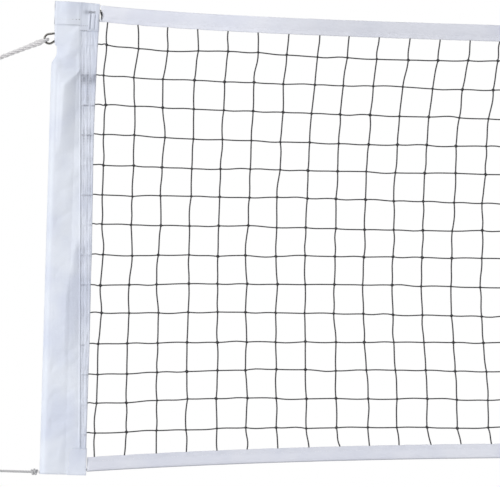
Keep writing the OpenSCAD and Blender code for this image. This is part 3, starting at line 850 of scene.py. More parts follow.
class NetSizes(bpy.types.PropertyGroup):
    """Sizes of what the construction leaves to the dressing."""

    twine: bpy.props.FloatProperty(
        name="Twine",
        description="Thickness of the netting's twine",
        default=0.0029,
        unit="LENGTH",
        precision=4,
    )
    knot: bpy.props.FloatProperty(
        name="Knot",
        description="Half the width of a netting knot",
        default=0.0029,
        unit="LENGTH",
        precision=4,
    )
    stitch_pitch: bpy.props.FloatProperty(
        name="Stitch pitch",
        description="Distance between stitches",
        default=0.0056,
        unit="LENGTH",
        precision=4,
    )
    stitch_length: bpy.props.FloatProperty(
        name="Stitch length", description="Length of one stitch", default=0.0036, unit="LENGTH", precision=4
    )
    thread: bpy.props.FloatProperty(
        name="Thread",
        description="Thickness of the sewing thread",
        default=0.0009,
        unit="LENGTH",
        precision=4,
    )
    top_lay: bpy.props.FloatProperty(
        name="Tie rope lay",
        description="Length of one turn of the upper ropes' strands",
        default=0.0348,
        unit="LENGTH",
    )
    bottom_lay: bpy.props.FloatProperty(
        name="Hem cord lay",
        description="Length of one turn of the thin ropes' strands",
        default=0.017,
        unit="LENGTH",
    )
    view_width: bpy.props.FloatProperty(
        name="View width",
        description="Width of the net that the camera takes in",
        default=1.015,
        unit="LENGTH",
    )
    view_roll: bpy.props.FloatProperty(
        name="View roll",
        description="Turn of the camera about its own axis",
        default=math.radians(1.65),
        subtype="ANGLE",
    )


def colour_property(name, what, hex_colour):
    return bpy.props.FloatVectorProperty(
        name=name, description=what, default=linear(hex_colour), size=4, subtype="COLOR", min=0, max=1
    )


class NetColours(bpy.types.PropertyGroup):
    """Colours of the cloth, twine and ropes."""

    sleeve: colour_property("Sleeve", "Side sleeves' cloth", "#e7ecf6")
    sleeve_shade: colour_property("Sleeve shade", "Duller patches of the sleeves' cloth", "#d9dfef")
    tape: colour_property("Tape", "Top and bottom tapes' cloth", "#ebedf6")
    tape_shade: colour_property("Tape shade", "Duller patches of the tapes' cloth", "#e1e4f0")
    lacing: colour_property("Lacing tape", "Lacing tapes' cloth", "#e0e5f1")
    lacing_shade: colour_property("Lacing tape shade", "Duller patches of the lacing tapes' cloth", "#cdd3e3")
    twine: colour_property("Twine", "Netting's twine", "#202024")
    twine_fleck: colour_property("Twine fleck", "Light on the twine's strands", "#66666a")
    rope: colour_property("Rope", "Upper tie ropes", "#f1f0f0")
    rope_groove: colour_property("Rope groove", "Shade between the upper ropes' fibres", "#cfcdd0")
    thin_rope: colour_property("Hem cord", "Bottom cord and lower tie ropes", "#dcdcdd")
    thin_rope_groove: colour_property("Hem cord groove", "Shade between the thin ropes' fibres", "#a9a9ac")
    thread: colour_property("Thread", "Sewing thread", "#f4f5f8")
    thread_shade: colour_property("Thread shade", "Shade in the thread's twist", "#cdd0d9")


# ---------------------------------------------------------------- operators


class NET_OT_studio(bpy.types.Operator):
    """Camera, soft lights and a pale floor under the hanging net"""

    bl_idname = "net.studio"
    bl_label = "Studio"

    def execute(self, context):
        sizes = context.scene.net_sizes
        roll, away = sizes.view_roll, 8.0
        lens = bpy.data.cameras.new("Camera")
        lens.sensor_width = 36
        lens.lens = 36 * away / sizes.view_width
        lens.clip_end = 100
        camera = bpy.data.objects.new("Camera", lens)
        right = Vector((math.cos(roll), 0, math.sin(roll)))
        up = Vector((-math.sin(roll), 0, math.cos(roll)))
        place = Matrix((right, up, Vector((0, -1, 0)))).transposed().to_4x4()
        place.translation = Vector((0.4192, -away, -0.4036))
        camera.matrix_world = place
        context.scene.collection.objects.link(camera)
        context.scene.camera = camera

        world = context.scene.world or bpy.data.worlds.new("World")
        context.scene.world = world
        world.use_nodes = True
        tree = world.node_tree
        tree.nodes.clear()
        rays = add(tree, "ShaderNodeLightPath")
        seen = add(
            tree,
            "ShaderNodeMath",
            {"operation": "ADD"},
            {0: rays.outputs["Is Camera Ray"], 1: rays.outputs["Is Glossy Ray"]},
        )
        seen = add(
            tree,
            "ShaderNodeMath",
            {"operation": "ADD", "use_clamp": True},
            {0: seen.outputs[0], 1: rays.outputs["Is Transmission Ray"]},
        )
        light = add(tree, "ShaderNodeBackground", None, {"Color": (1, 1, 1, 1), "Strength": 0.4})
        white = add(tree, "ShaderNodeBackground", None, {"Color": (1, 1, 1, 1), "Strength": 1.0})
        mix = add(
            tree, "ShaderNodeMixShader", None, {0: seen.outputs[0], 1: light.outputs[0], 2: white.outputs[0]}
        )
        out = tree.nodes.new("ShaderNodeOutputWorld")
        tree.links.new(mix.outputs[0], out.inputs[0])

        for name, strength, direction, spread in (
            ("Key light", 1.6, (0.66, 0.66, -0.36), 20),
            ("Front fill", 0.38, (-0.2, 0.9, -0.3), 60),
            ("Back light", 1.3, (-0.55, -0.7, -0.4), 30),
        ):
            lamp = bpy.data.lights.new(name, "SUN")
            lamp.energy = strength
            lamp.angle = math.radians(spread)
            holder = bpy.data.objects.new(name, lamp)
            holder.rotation_euler = Vector(direction).to_track_quat("-Z", "Y").to_euler()
            context.scene.collection.objects.link(holder)

        floor_z, reach = -2360.0, 9000.0
        ring = [
            (MIDDLE + 1.3 * reach * math.cos(a), 0.8 * reach * math.sin(a), floor_z)
            for a in (2 * math.pi * i / 96 for i in range(96))
        ]
        floor = new_mesh("Floor", ring, [tuple(range(96))])
        pale, tree, bsdf = surface("Pale floor paint", 0.7, Specular_IOR_Level=0.1)
        bsdf.inputs["Base Color"].default_value = linear("#f6f6f6")
        rays = add(tree, "ShaderNodeLightPath")
        place = add(tree, "ShaderNodeTexCoord").outputs["Object"]
        centred = add(
            tree,
            "ShaderNodeMapping",
            None,
            {"Vector": place, "Location": (-MIDDLE * MM / 9.5, 0, 0), "Scale": (1 / 9.5, 1 / 5.5, 0)},
        )
        distance = add(tree, "ShaderNodeVectorMath", {"operation": "LENGTH"}, {0: centred.outputs[0]})
        edge = add(
            tree,
            "ShaderNodeMapRange",
            {"interpolation_type": "SMOOTHSTEP"},
            {"Value": distance.outputs["Value"], "From Min": 0.45, "From Max": 1.0},
        )
        camera_ray = rays.outputs["Is Camera Ray"]
        shown = add(tree, "ShaderNodeMath", {"operation": "MULTIPLY"}, {0: edge.outputs[0], 1: camera_ray})
        glow = add(tree, "ShaderNodeEmission", None, {"Color": (1, 1, 1, 1), "Strength": 1.0})
        blend = add(
            tree, "ShaderNodeMixShader", None, {0: shown.outputs[0], 1: bsdf.outputs[0], 2: glow.outputs[0]}
        )
        tree.links.new(blend.outputs[0], tree.nodes["Material Output"].inputs[0])
        floor.data.materials.append(pale)
        context.scene.view_settings.view_transform = "Standard"
        return {"FINISHED"}


def in_rope(s, w=0.0, y=0.0):
    """A point on an upper rope's own line: distance from the eye, across it, and through the net."""
    return EYE + s * AWAY + w * ACROSS + np.array([0, y, 0])


def declare_rope(path, right):
    """Thins a rope's route, at its own end of the net, to about 120 points and its far end; the result is not
    used.
    """
    whole = at_end(path, right)
    line = whole[:: max(1, len(whole) // 120)]
    if np.linalg.norm(line[-1] - whole[-1]) > 0.01:
        line = np.vstack([line, whole[-1:]])


def wound_path(centre_of, radius, wrap, step, turns=2):
    """Path of cord wound side by side round a rope's own line, drawn in towards both ends;
    centre_of gives a point from (along, u, v)."""
    a = np.linspace(0, 2 * math.pi * turns, int(turns * 2 * math.pi * radius / step) + 1)
    along = wrap * turns * (2 * a / a[-1] - 1)
    reach = radius - 0.65 * wrap * (along / (wrap * turns)) ** 2
    return np.array([centre_of(s, r * math.cos(t), r * math.sin(t)) for s, t, r in zip(along, a, reach)])


class NET_OT_upper_ropes(bpy.types.Operator):
    """Thick laid ropes spliced round the thimbles, each ending in a knotted loop"""

    bl_idname = "net.upper_ropes"
    bl_label = "Upper tie ropes"

    def execute(self, context):
        rope = finishes()["Laid polyamide tie rope"]
        lay = context.scene.net_sizes.top_lay / MM
        route = [(38, 0), (45, 0), (52, 0), (62, 0), (72, 0), (82, 0), (92, 0), (104, 0), (116, 0), (126, 1)]
        route += [(136, 6), (147, 13), (159, 18), (172, 20), (184, 18), (194, 11), (198, 0), (194, -11)]
        route += [(184, -18), (172, -20), (159, -18), (147, -13), (136, -7), (128, -3)]
        path = smooth_route([in_rope(s, w) for s, w in route], 1.7)
        gone = np.linalg.norm(path - EYE, axis=1)
        radius = np.interp(gone, [38, 47, 62, 100], [5.5, 5.3, 4.9, 4.55])
        # the bight round the thimble: both legs thicken away from the eye
        middle, turn_r = STRAND_R - 0.62, 7.07
        bight = [(50, 0.2, 1.0), (43, 0.5, 1.4), (35, 0.9, 2.3), (26, 1.3, 4.3), (18, 1.2, 6.3)]
        legs = [in_rope(s, w, y) for s, w, y in bight]
        for i in range(9):
            a = math.pi / 2 + math.pi * i / 8
            legs.append(in_rope(middle + turn_r * math.cos(a), 0, turn_r * math.sin(a)))
        legs += [in_rope(s, -0.6 * w, -y) for s, w, y in reversed(bight)]
        loop = smooth_route(legs, 1.5)
        reach = (loop - EYE) @ AWAY
        loop_r = np.interp(reach, [2, 9, 13, 17, 24, 34, 42, 50], [3.4, 3.6, 4.5, 5.5, 5.7, 5.4, 5.0, 4.2])
        wraps = wound_path(lambda s, u, v: in_rope(128 + s, u, v), 8.25, TOP_ROPE_R, 1.6)
        rows = (
            ("rope_splice", laid_rope(loop, loop_r, lay, first=ACROSS), "top_splice"),
            ("rope_knot", laid_rope(wraps, TOP_ROPE_R, lay), "top_knot"),
            ("tie_rope", laid_rope(path, radius, lay), "top_rope"),
        )
        for side in SIDES:
            *others, main = tie_pieces(side, "top_tie", rope, rows)
            declare_rope(path, side == "right")
        return {"FINISHED"}


# Where a lower rope's stopper knot holds it, just outside the corner
STOPPER = np.array([-6.0, 15.15, SIDE_BOTTOM - 3.5])


def in_low_rope(s, w=0.0, y=0.0):
    """A point on a lower rope's own line: distance from the stopper, across it, and through the net."""
    return STOPPER + np.array([-s, y, w])


class NET_OT_lower_ropes(bpy.types.Operator):
    """Thin ropes at the lower corners, and the cord through the bottom hem"""

    bl_idname = "net.lower_ropes"
    bl_label = "Lower tie ropes"

    def execute(self, context):
        rope = finishes()["Laid polyester hem cord"]
        lay = context.scene.net_sizes.bottom_lay / MM
        route = [
            (4, 0), (12, 0), (20, 0), (28, 0), (36, 0), (44, 0), (52, 0), (60, 0), (68, 0), (76, 0), (83, 1)
        ]
        route += [
            (90, 4), (98, 9), (107, 12), (116, 12), (124, 8), (127, 0), (124, -8), (116, -12), (107, -12)
        ]
        route += [(98, -9), (90, -5), (84, -2)]
        path = smooth_route([in_low_rope(s, w) for s, w in route], 1.2)
        stop = wound_path(in_low_rope, LOW_KNOT_R, LOW_ROPE_R, 1.2)
        end = wound_path(lambda s, u, v: in_low_rope(84 + s, u, v), LOW_KNOT_R, LOW_ROPE_R, 1.2)
        exits = [
            (-84.5, 1), (-67.5, 0.88), (-53.5, 0.73), (-35.5, 0.6), (-17.5, 0.56), (-2.5, 0.53), (10.5, 0.43)
        ]
        exits += [(23.5, 0.28), (36.5, 0.13), (48.5, 0.04), (70, 0), (90, 0)]

        def level(x):
            hem = bottom_edge(max(x, TAPE_X)) + 3.85
            return hem if x >= TAPE_X else STOPPER[2] + (x + 6) / (TAPE_X + 6) * (hem - STOPPER[2])

        tail = [(low_mm("bottom_cord").x, STOPPER[1], STOPPER[2])]
        tail += [(TAPE_X + d, STOPPER[1] * share, level(TAPE_X + d)) for d, share in exits]
        tail = smooth_route(tail, 1.2)
        inside = np.linspace(tail[-1][0], MIDDLE, 40)
        run = np.array([(x, 0, level(x)) for x in inside])
        run = np.vstack([run, at_right(run[:-1])[::-1]])
        left_tail = laid_rope(tail, LOW_ROPE_R, lay)
        cord = [left_tail, other_end(left_tail), plain_tube(run, 2.7)]
        rope_piece("hem_cord", cord, False, rope, "net", ["bottom_cord"])
        rows = (
            ("stopper_knot", laid_rope(stop, LOW_ROPE_R, lay), "bottom_stopper"),
            ("low_rope_knot", laid_rope(end, LOW_ROPE_R, lay), "bottom_knot"),
            ("low_tie_rope", laid_rope(path, LOW_ROPE_R, lay), "bottom_rope"),
        )
        for side in SIDES:
            *others, main = tie_pieces(side, "bottom_tie", rope, rows)
            declare_rope(path, side == "right")
        return {"FINISHED"}


class NET_OT_cable(bpy.types.Operator):
    """Steel wire rope in the top hem, its eyes, and the finish of the metal fittings"""

    bl_idname = "net.cable"
    bl_label = "Cable and fittings"

    def execute(self, context):
        found = finishes()

        def turned(x, z):
            return EYE + x * -AWAY + z * ACROSS

        touch = math.acos(STRAND_R / math.hypot(FERRULE_X, STRAND_Z)) + math.atan2(STRAND_Z, FERRULE_X)
        eye = [turned(FERRULE_END, STRAND_Z), turned(38, STRAND_Z), turned(FERRULE_X, STRAND_Z)]
        for i in range(17):
            a = touch + (2 * math.pi - 2 * touch) * i / 16
            eye.append(turned(STRAND_R * math.cos(a), STRAND_R * math.sin(a)))
        eye += [turned(FERRULE_X, -STRAND_Z), turned(38, -STRAND_Z), turned(FERRULE_END, -STRAND_Z)]
        eye += [np.array([x, 0, float(cable_height(x))]) for x in np.arange(56, 220, 8)]
        start = smooth_route(eye, 0.8)
        first = laid_rope(start, CABLE_R, 22, strands=6, per_strand=5, depth=0.34)
        along = np.concatenate([np.linspace(start[-1][0], 900, 24)[:-1], np.linspace(900, MIDDLE, 20)])
        run = np.array([(x, 0, float(cable_height(x))) for x in along])
        run = np.vstack([run, at_right(run[:-1])[::-1]])
        parts = [first, other_end(first), plain_tube(run, 1.55)]
        rope_piece(
            "wire_rope", parts, False, found["Galvanised wire rope"], "net", ["top_cable"]
        )
        for side in SIDES:
            for node, finish in (
                ("thimble", "Shade-darkened galvanised steel"),
                ("ferrule", "Swaged aluminium"),
                ("pole", "Drawn aluminium tube"),
                ("pole_top_cap", "Moulded black polyethylene"),
                ("pole_bottom_cap", "Moulded black polyethylene"),
            ):
                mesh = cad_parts[f"{side}_{node}"].data
                mesh.materials.clear()
                mesh.materials.append(found[finish])
        return {"FINISHED"}


# Small irregularities of the first meshes beside a lacing tape, as (row, column, across, up)
PULLS = (
    (2, 0, -4.4, 0), (3, 0, 3.3, 0), (8, 0, 3.0, 0), (10, 0, 4.2, 1.5), (1, 1, 1.3, -2.5), (2, 1, -5.2, 0),
    (1, 2, 1.8, -1.5), (2, 2, -5.0, 0), (3, 2, -2.5, 0), (8, 2, -4.5, 0), (9, 2, -4.5, 0), (1, 3, 3.6, 2.0),
    (2, 3, -2.5, 0), (1, 4, 1.0, 5.0), (1, 5, 0, 4.5), (1, 6, 0, 3.0), (1, 12, 0, 1.5), (1, 13, 0, 3.0),
)  # fmt: skip


class NET_OT_netting(bpy.types.Operator):
    """Knotted black twine, every mesh of it, in four lengths"""

    bl_idname = "net.netting"
    bl_label = "Netting"

    def execute(self, context):
        sizes = context.scene.net_sizes
        rng = np.random.default_rng(7)
        columns = np.arange(COLUMNS + 1)
        home = FIRST_X + columns * PITCH
        x = np.zeros((ROWS + 2, COLUMNS + 1))
        z = np.zeros_like(x)
        for i in range(ROWS + 2):
            share = {0: 0.0, ROWS + 1: 1.0}.get(i, level_share(i, home))
            x[i] = home + bow(share, home) + rng.normal(0, 1.1, COLUMNS + 1)
            z[i] = at_share(share, x[i])
            if 0 < i <= ROWS:
                z[i] += rng.normal(0, 0.8, COLUMNS + 1) + 1.2 * np.sin(home / 173 + i * 1.9)
        for row, column, across, up in PULLS:
            x[row, column] += across
            z[row, column] += up
            x[row, COLUMNS - column] -= across
            z[row, COLUMNS - column] += up
        y = rng.normal(0, 0.25, x.shape)
        steps = 6

        def swing(a, b, ends):
            """Points from knot a to knot b, with the wave that the knots leave in the twine."""
            t = np.linspace(0, 1, steps + 1)[:-1]
            line = a + (b - a) * t[:, None]
            across = np.array([-(b - a)[2], 0, (b - a)[0]]) / np.linalg.norm(b - a)
            wave = ends[0] * np.sin(math.pi * t) + ends[1] * np.sin(2 * math.pi * t)
            line += across * wave[:, None]
            line[:, 1] += 0.3 * np.sin(2 * math.pi * t + ends[2])
            return line

        uprights, upright_marks = [], []
        for j in columns:
            knots = np.stack([x[:, j], y[:, j], z[:, j]], 1)
            top = min(tape_gap(x[0, j])[0] + 7.5, float(cable_height(x[0, j])) - 3.5)
            bottom = tape_gap(x[-1, j])[1] - 7.5
            knots[0, 1] = knots[-1, 1] = 0
            parts = [[[x[0, j], 0, top]]]
            for i in range(ROWS + 1):
                parts.append(swing(knots[i], knots[i + 1], rng.normal(0, [0.9, 0.5, 2.0])))
            parts += [[knots[-1]], [[x[-1, j], 0, bottom]]]
            line = np.vstack(parts)
            marks = np.zeros(len(line))
            marks[1 + steps : 1 + steps * (ROWS + 1) : steps] = 1
            uprights.append(line)
            upright_marks.append(marks)
        levels = []
        for i in range(1, ROWS + 1):
            ends = [LACING_X + 12, 2 * MIDDLE - LACING_X - 12]
            knots = [np.array([ends[0], 0, float(at_share(level_share(i, ends[0]), ends[0])) - 0.5])]
            edge = float(lacing_edge(np.array(z[i, 0])))
            knots += [np.array([edge + 4, 0, z[i, 0] + 0.8])]
            knots += [np.array([x[i, j], y[i, j] + 0.6, z[i, j]]) for j in columns]
            knots += [np.array([2 * MIDDLE - edge - 4, 0, z[i, -1] + 0.8])]
            knots += [np.array([ends[1], 0, knots[0][2]])]
            line = [swing(a, b, rng.normal(0, [0.8, 0.5, 2.0])) for a, b in zip(knots, knots[1:])]
            levels.append(np.vstack(line + [[knots[-1]]]))
        bounds = [0, 40, 79, 118, COLUMNS + 1]
        names = ("netting_left", "netting_mid_left", "netting_mid_right", "netting_right")
        for k, name in enumerate(names):
            chosen = slice(bounds[k], bounds[k + 1])
            low = -1e9 if k == 0 else FIRST_X + (bounds[k] - 0.5) * PITCH
            high = 1e9 if k == 3 else FIRST_X + (bounds[k + 1] - 0.5) * PITCH
            lines = list(uprights[chosen])
            marks = list(upright_marks[chosen])
            for line in levels:
                inside = np.nonzero((line[:, 0] > low - 8) & (line[:, 0] <= high + 8))[0]
                lines.append(line[inside])
                marks.append(np.zeros(len(inside)))
            made = run_tree(
                wire_mesh(name + "_lines", lines, marks),
                name,
                twine_tree(),
                {
                    "Twine thickness": sizes.twine,
                    "Knot size": sizes.knot,
                    "Seed": 4 + k,
                    "Material": finishes()["Twisted polyethylene twine"],
                },
            )
            finish_piece(made, None, "net", ["netting"] if k == 0 else ())
        return {"FINISHED"}


def upright_places(share):
    """Where the upright twines meet a tape."""
    home = FIRST_X + np.arange(COLUMNS + 1) * PITCH
    return home + bow(share, home)


def near_upright(x, places, width):
    """1 beside an upright twine, falling to 0 a few millimetres away."""
    nearest = places[np.argmin(np.abs(places[None, :] - x[:, None]), axis=1)]
    return np.exp(-(((x - nearest) / width) ** 2))


def ripple(x, scale, seed):
    """Soft noise along the net."""
    return np.array([noise.noise((float(v) / scale, seed, 0.0)) for v in np.ravel(x)]).reshape(np.shape(x))


def creases(x, z, width, height, seed):
    """Soft noise over cloth, whose creases have the given width and height."""
    return np.vectorize(lambda a, b: noise.noise((a / width, b / height, seed)))(x, z)


def folded_over(front):
    """A tape's front layer, carried on over its fold and down the back."""
    back = front[:, -2::-1].copy()
    back[..., 1] *= -1
    return np.concatenate([front, back], axis=1)


class NET_OT_tapes(bpy.types.Operator):
    """Cloth tapes folded over the net's top and bottom edges"""

    bl_idname = "net.tapes"
    bl_label = "Top and bottom tapes"

    def execute(self, context):
        material = finishes()["Coated polyester binding tape"]
        half = np.concatenate([np.arange(TAPE_X, 1000, 5.0), np.arange(1000, MIDDLE, 8.7)])
        xs = np.concatenate([half, [MIDDLE], (2 * MIDDLE - half)[::-1]])
        # top tape: height over its lower edge, and half the gap between its layers
        high = np.array([0, 2.2, 4.6, 7.6, 9.2, 11, 15, 20, 26, 30.5, 32.4, 32.9])
        gap = np.array([1.5, 1.1, 0.8, 0.65, 0.65, 0.95, 1.7, 2.1, 2.3, 2.2, 1.5, 0.0])
        opened = np.array([2.15, 2.15, 2.1, 1.7, 1.2, 1.1, 1.7, 2.1, 2.3, 2.2, 1.5, 0.0])
        places = upright_places(0.0)
        close = near_upright(xs, places, 5.0)[:, None]
        wave = ripple(xs, 23, 1.0)[:, None]
        layer = gap + (opened - gap) * close + 0.25 * wave * (high < 12)
        soft = ripple(xs, 90, 5.0)[:, None] * 0.35 * np.sin(math.pi * high / 33)
        front = np.zeros((len(xs), len(high), 3))
        scallop = 0.5 * close[:, 0] + 0.45 * ripple(xs, 17, 9.0)
        front[..., 0] = xs[:, None]
        front[..., 1] = -layer - soft
        front[..., 2] = (top_edge(xs) - TOP_TAPE_W)[:, None] + high + scallop[:, None] * (high < 10)
        end = np.exp(-((from_end(xs) - 3) / 5.0))[:, None]
        grid = folded_over(front)
        inward = np.interp(grid[..., 2], [36, 42, 50, 57, 62, 66, 72], [-0.6, 0.4, 3.0, 4.8, 2.5, 0.2, 0])
        grid[..., 0] += inward * end * np.where(xs < MIDDLE, 1, -1)[:, None]
        beside = np.abs(grid[..., 2] - cable_height(grid[..., 0]))
        room = np.where(beside < 3.4, 2.25 - 0.06 * beside**2, 0) * (np.abs(grid[..., 1]) > 0)
        grid[..., 1] = np.sign(grid[..., 1]) * np.maximum(np.abs(grid[..., 1]), room)
        # painted shade: the top tape turns darker away from its ends
        shade_and_wear = 0.17 * eased((from_end(grid[..., 0]) - 260) / 240)
        top = cloth("top_binding", grid, shade_and_wear=shade_and_wear)
        finish_piece(top, material, "net", ["top_tape"])
        # bottom tape: height over its lower fold
        high = np.array([29.5, 27.2, 24.6, 21.6, 20, 18, 14.5, 10, 6, 3, 1.2, 0.4])
        gap = np.array([1.5, 1.1, 0.8, 0.65, 0.65, 0.95, 1.9, 3.2, 3.4, 3.1, 2.2, 0.0])
        opened = np.array([2.15, 2.15, 2.1, 1.7, 1.2, 1.1, 1.9, 3.2, 3.4, 3.1, 2.2, 0.0])
        places = upright_places(1.0)
        close = near_upright(xs, places, 5.0)[:, None]
        wave = ripple(xs, 21, 3.0)[:, None]
        layer = gap + (opened - gap) * close + 0.25 * wave * (high > 17)
        front = np.zeros((len(xs), len(high), 3))
        scallop = -0.5 * close[:, 0] + 0.4 * ripple(xs, 19, 7.0)
        front[..., 0] = xs[:, None]
        front[..., 1] = -layer
        front[..., 2] = bottom_edge(xs)[:, None] + high + scallop[:, None] * (high > 18)
        grid = folded_over(front)
        # the bottom tape a little darker overall, with painted shade along the underside of its lower fold
        shade_and_wear = 0.14 + np.clip((1.8 - (grid[..., 2] - bottom_edge(xs)[:, None])) / 1.4, 0, 1) * 0.66
        across = (grid[:-1, :-1, 2] + grid[1:, 1:, 2]) / 2 - bottom_edge(xs)[:-1, None]
        slit = (
            (from_end(xs)[:-1, None] < 58)
            & (grid[:-1, :-1, 1] + grid[1:, 1:, 1] > 1)
            & (across > 1)
            & (across < 9.5)
        )
        bottom = cloth("bottom_binding", grid, skip=slit, shade_and_wear=shade_and_wear)
        bottom.data.flip_normals()
        finish_piece(bottom, material, "net", ["bottom_tape"])
        for name, face in (("front", -1.15), ("back", 1.15)):
            for tape, height in (
                ("top", top_edge(xs) - TOP_TAPE_W + 8.2), ("bottom", bottom_edge(xs) + 20.8)
            ):
                seam = np.stack([xs, np.full_like(xs, face), height], 1)
                sew(f"{tape}_seam_{name}", [seam[2:-2]])
        return {"FINISHED"}


def lacing_lines(z):
    """Where the seams of the lacing tape run, beside the sleeve's lap."""
    edge = lap_edge(z)
    return [edge + 1.7, edge + 6.8, edge + 14.6, edge + 20.4]


class NET_OT_lacing_tapes(bpy.types.Operator):
    """Puckered cloth tapes that bind the net's side edges, with their seams"""

    bl_idname = "net.lacing_tapes"
    bl_label = "Lacing tapes"

    def execute(self, context):
        material = finishes()["Coated polyester lacing tape"]
        zs = np.arange(SIDE_BOTTOM, SIDE_TOP + 0.1, 2.6)
        zs[-1] = SIDE_TOP
        share = np.concatenate([np.linspace(0, 1, 34), [1.012]])
        right_edge = lacing_edge(zs)
        xs = right_edge[:, None] - (right_edge[:, None] - LACING_X - 0.5) * share[None, :]
        z = np.broadcast_to(zs[:, None], xs.shape)
        rows = np.array([float(at_share(level_share(i, 110.0), 110.0)) for i in range(1, ROWS + 1)])
        off = np.min(np.abs(z[..., None] - rows[None, None, :]), axis=2)
        cord = np.exp(-((off / 2.6) ** 2))
        lap = lap_edge(z)
        bare = np.clip((xs - lap) / 2.0, 0, 1)
        bare *= np.clip((LACING_END + 2.6 - xs) / 1.0, 0, 1)
        seams = sum(np.exp(-(((xs - s) / 1.3) ** 2)) for s in lacing_lines(z))
        crumple = creases(xs, z, 3.3, 22.0, 2.0)
        broad = creases(xs, z, 9.0, 60.0, 7.0)
        tight = np.exp(-(((off - 9) / 9) ** 2)) * (0.6 + 0.8 * creases(np.zeros_like(z), z, 1, 45, 4.0))
        drawn = np.exp(-(((z + 80) / 11) ** 2))
        front = 2.5 - 0.8 * np.clip(seams, 0, 1) * (1 - 0.6 * cord) + 0.6 * cord
        front += crumple * (0.8 + 1.1 * tight + 1.2 * drawn) + 0.6 * broad
        front += (0.6 + 0.7 * eased((z + 72) / 10)) * np.exp(-(((xs - lap - 0.9) / 0.9) ** 2))
        front = 2.25 * (1 - bare) + np.clip(front, 0.8, 4.6) * bare
        # painted shade: dark lines just under each cord, in the seam grooves, in the crumples and over the
        # drawn-in patch near z = -80, less near the top and bottom
        under_cord = (z - rows[np.argmin(np.abs(z[..., None] - rows), axis=2)] + 2.6) / 1.3
        cord_shadow = np.exp(-(under_cord**2)) * (0.28 + 0.35 * np.clip(broad * 3, -0.6, 1))
        patchy = np.clip(0.55 + 1.6 * creases(xs, z, 5.0, 30.0, 9.0), 0, 1.3)
        shade_and_wear = 0.34 * np.clip(seams, 0, 1) * patchy + cord_shadow + drawn * (0.42 + 0.5 * crumple)
        shade_and_wear = np.clip(shade_and_wear + 0.12 * tight * (1 + 2 * crumple), 0.03, 0.8) * bare
        shade_and_wear = shade_and_wear * (1 - 0.8 * eased((z + 58) / 14) - 0.35 * eased((-230 - z) / 60))
        front[:, 0] = 1.6 + 0.6 * cord[:, 0]
        back = 2.3 - 0.6 * np.clip(seams, 0, 1) + 0.5 * cord + 0.5 * crumple
        back = 2.25 * (1 - bare) + np.clip(back, 1.0, 3.6) * bare
        back[:, 0] = front[:, 0]
        front[:, -1] = back[:, -1] = 1.2
        lay = np.stack([xs, -front, z], -1)
        under = np.stack([xs, back, z], -1)[:, ::-1]
        grid = np.concatenate([lay, under], axis=1)
        mid = len(share)
        slope_z = float(cable_height(LACING_X))
        skip = np.zeros((len(zs) - 1, grid.shape[1] - 1), bool)
        near = np.abs((zs[:-1] + zs[1:]) / 2 - slope_z) < 3.0
        skip[near, mid - 1] = True
        for side in SIDES:
            right = side == "right"
            shade_and_wear_share = np.concatenate([shade_and_wear, shade_and_wear[:, ::-1] * 0.5], axis=1)
            tape = cloth(f"{side}_lacing_binding", grid, right, skip, shade_and_wear=shade_and_wear_share, flip=True)
            finish_piece(tape, material, "net", [f"{side}_lacing_tape"])
            lines = []
            for k in range(4):
                seam_x = lacing_lines(zs)[k]
                inside = (seam_x < right_edge - 1.5) & (zs < 15 if k else zs < 70) & (zs > -822)
                where = np.nonzero(inside)[0]
                if len(where) < 3:
                    continue
                column = np.array([np.interp(-seam_x[i], -xs[i], -front[i]) for i in where])
                line = np.stack([seam_x[where], column - 0.5, zs[where]], 1)
                lines.append(at_end(line, right))
            sew(f"{side}_lacing_seams", lines)
        return {"FINISHED"}


# Height range of the slit where the eye stands out of the sleeve's outer fold
SLIT = (-8.6, 15.4)


def sleeve_sections(zs):
    """Outer fold and fold radius of a sleeve's cloth at each height."""
    heights = [90, -6, -9.5, -13, -15.4, -28, -34, -39, -44, -47.5, -50, -60, -1000]
    outer = [10.4, 10.3, 11.2, 14.2, 16.0, 16.4, 15.0, 12.2, 8.8, 6.9, 6.1, 5.7, 5.7]
    radius = [5.2, 5.2, 5.0, 4.5, 4.1, 4.0, 4.9, 6.4, 8.8, 10.6, 11.4, 11.7, 11.7]
    down = [-h for h in heights]
    return np.interp(-zs, down, outer), np.interp(-zs, down, radius)


def eased(t):
    """A smooth step from 0 to 1."""
    t = np.clip(t, 0, 1)
    return t * t * (3 - 2 * t)


# Slack folds of a sleeve: depth, width of the steep side, and down the ridge its height, place along X
# and strength
SLACK_FOLDS = (
    (2.8, 30, ((78, 33, 1.0), (34, 35, 1.0), (28, 38, 0.2), (24, 59, 0.0))),
    (3.6, 30, ((30, 58, 0.0), (22, 54, 0.3), (4, 47, 0.7), (-32, 38, 1.0), (-46, 36, 0.5), (-62, 35, 0.0))),
    (
        6.6,
        40,
        (
            (-58, 66, 0.2), (-67, 60, 0.8), (-80, 46, 1.0), (-93, 33, 1.0), (-150, 31, 0.9), (-205, 29, 0.6),
            (-236, 27, 0.0),
        ),
    ),
    (2.0, 30, ((-250, 60, 0.0), (-275, 50, 1.0), (-330, 44, 0.6), (-360, 42, 0.0))),
    (
        6.0,
        30,
        (
            (-405, 66, 0.0), (-425, 64, 0.7), (-519, 49, 1.0), (-600, 49, 0.85), (-660, 50, 0.5),
            (-760, 52, 0.0),
        ),
    ),
    (3.0, 30, ((-730, 64, 0.0), (-760, 56, 1.0), (-850, 44, 0.8), (-885, 42, 0.3))),
)  # fmt: skip


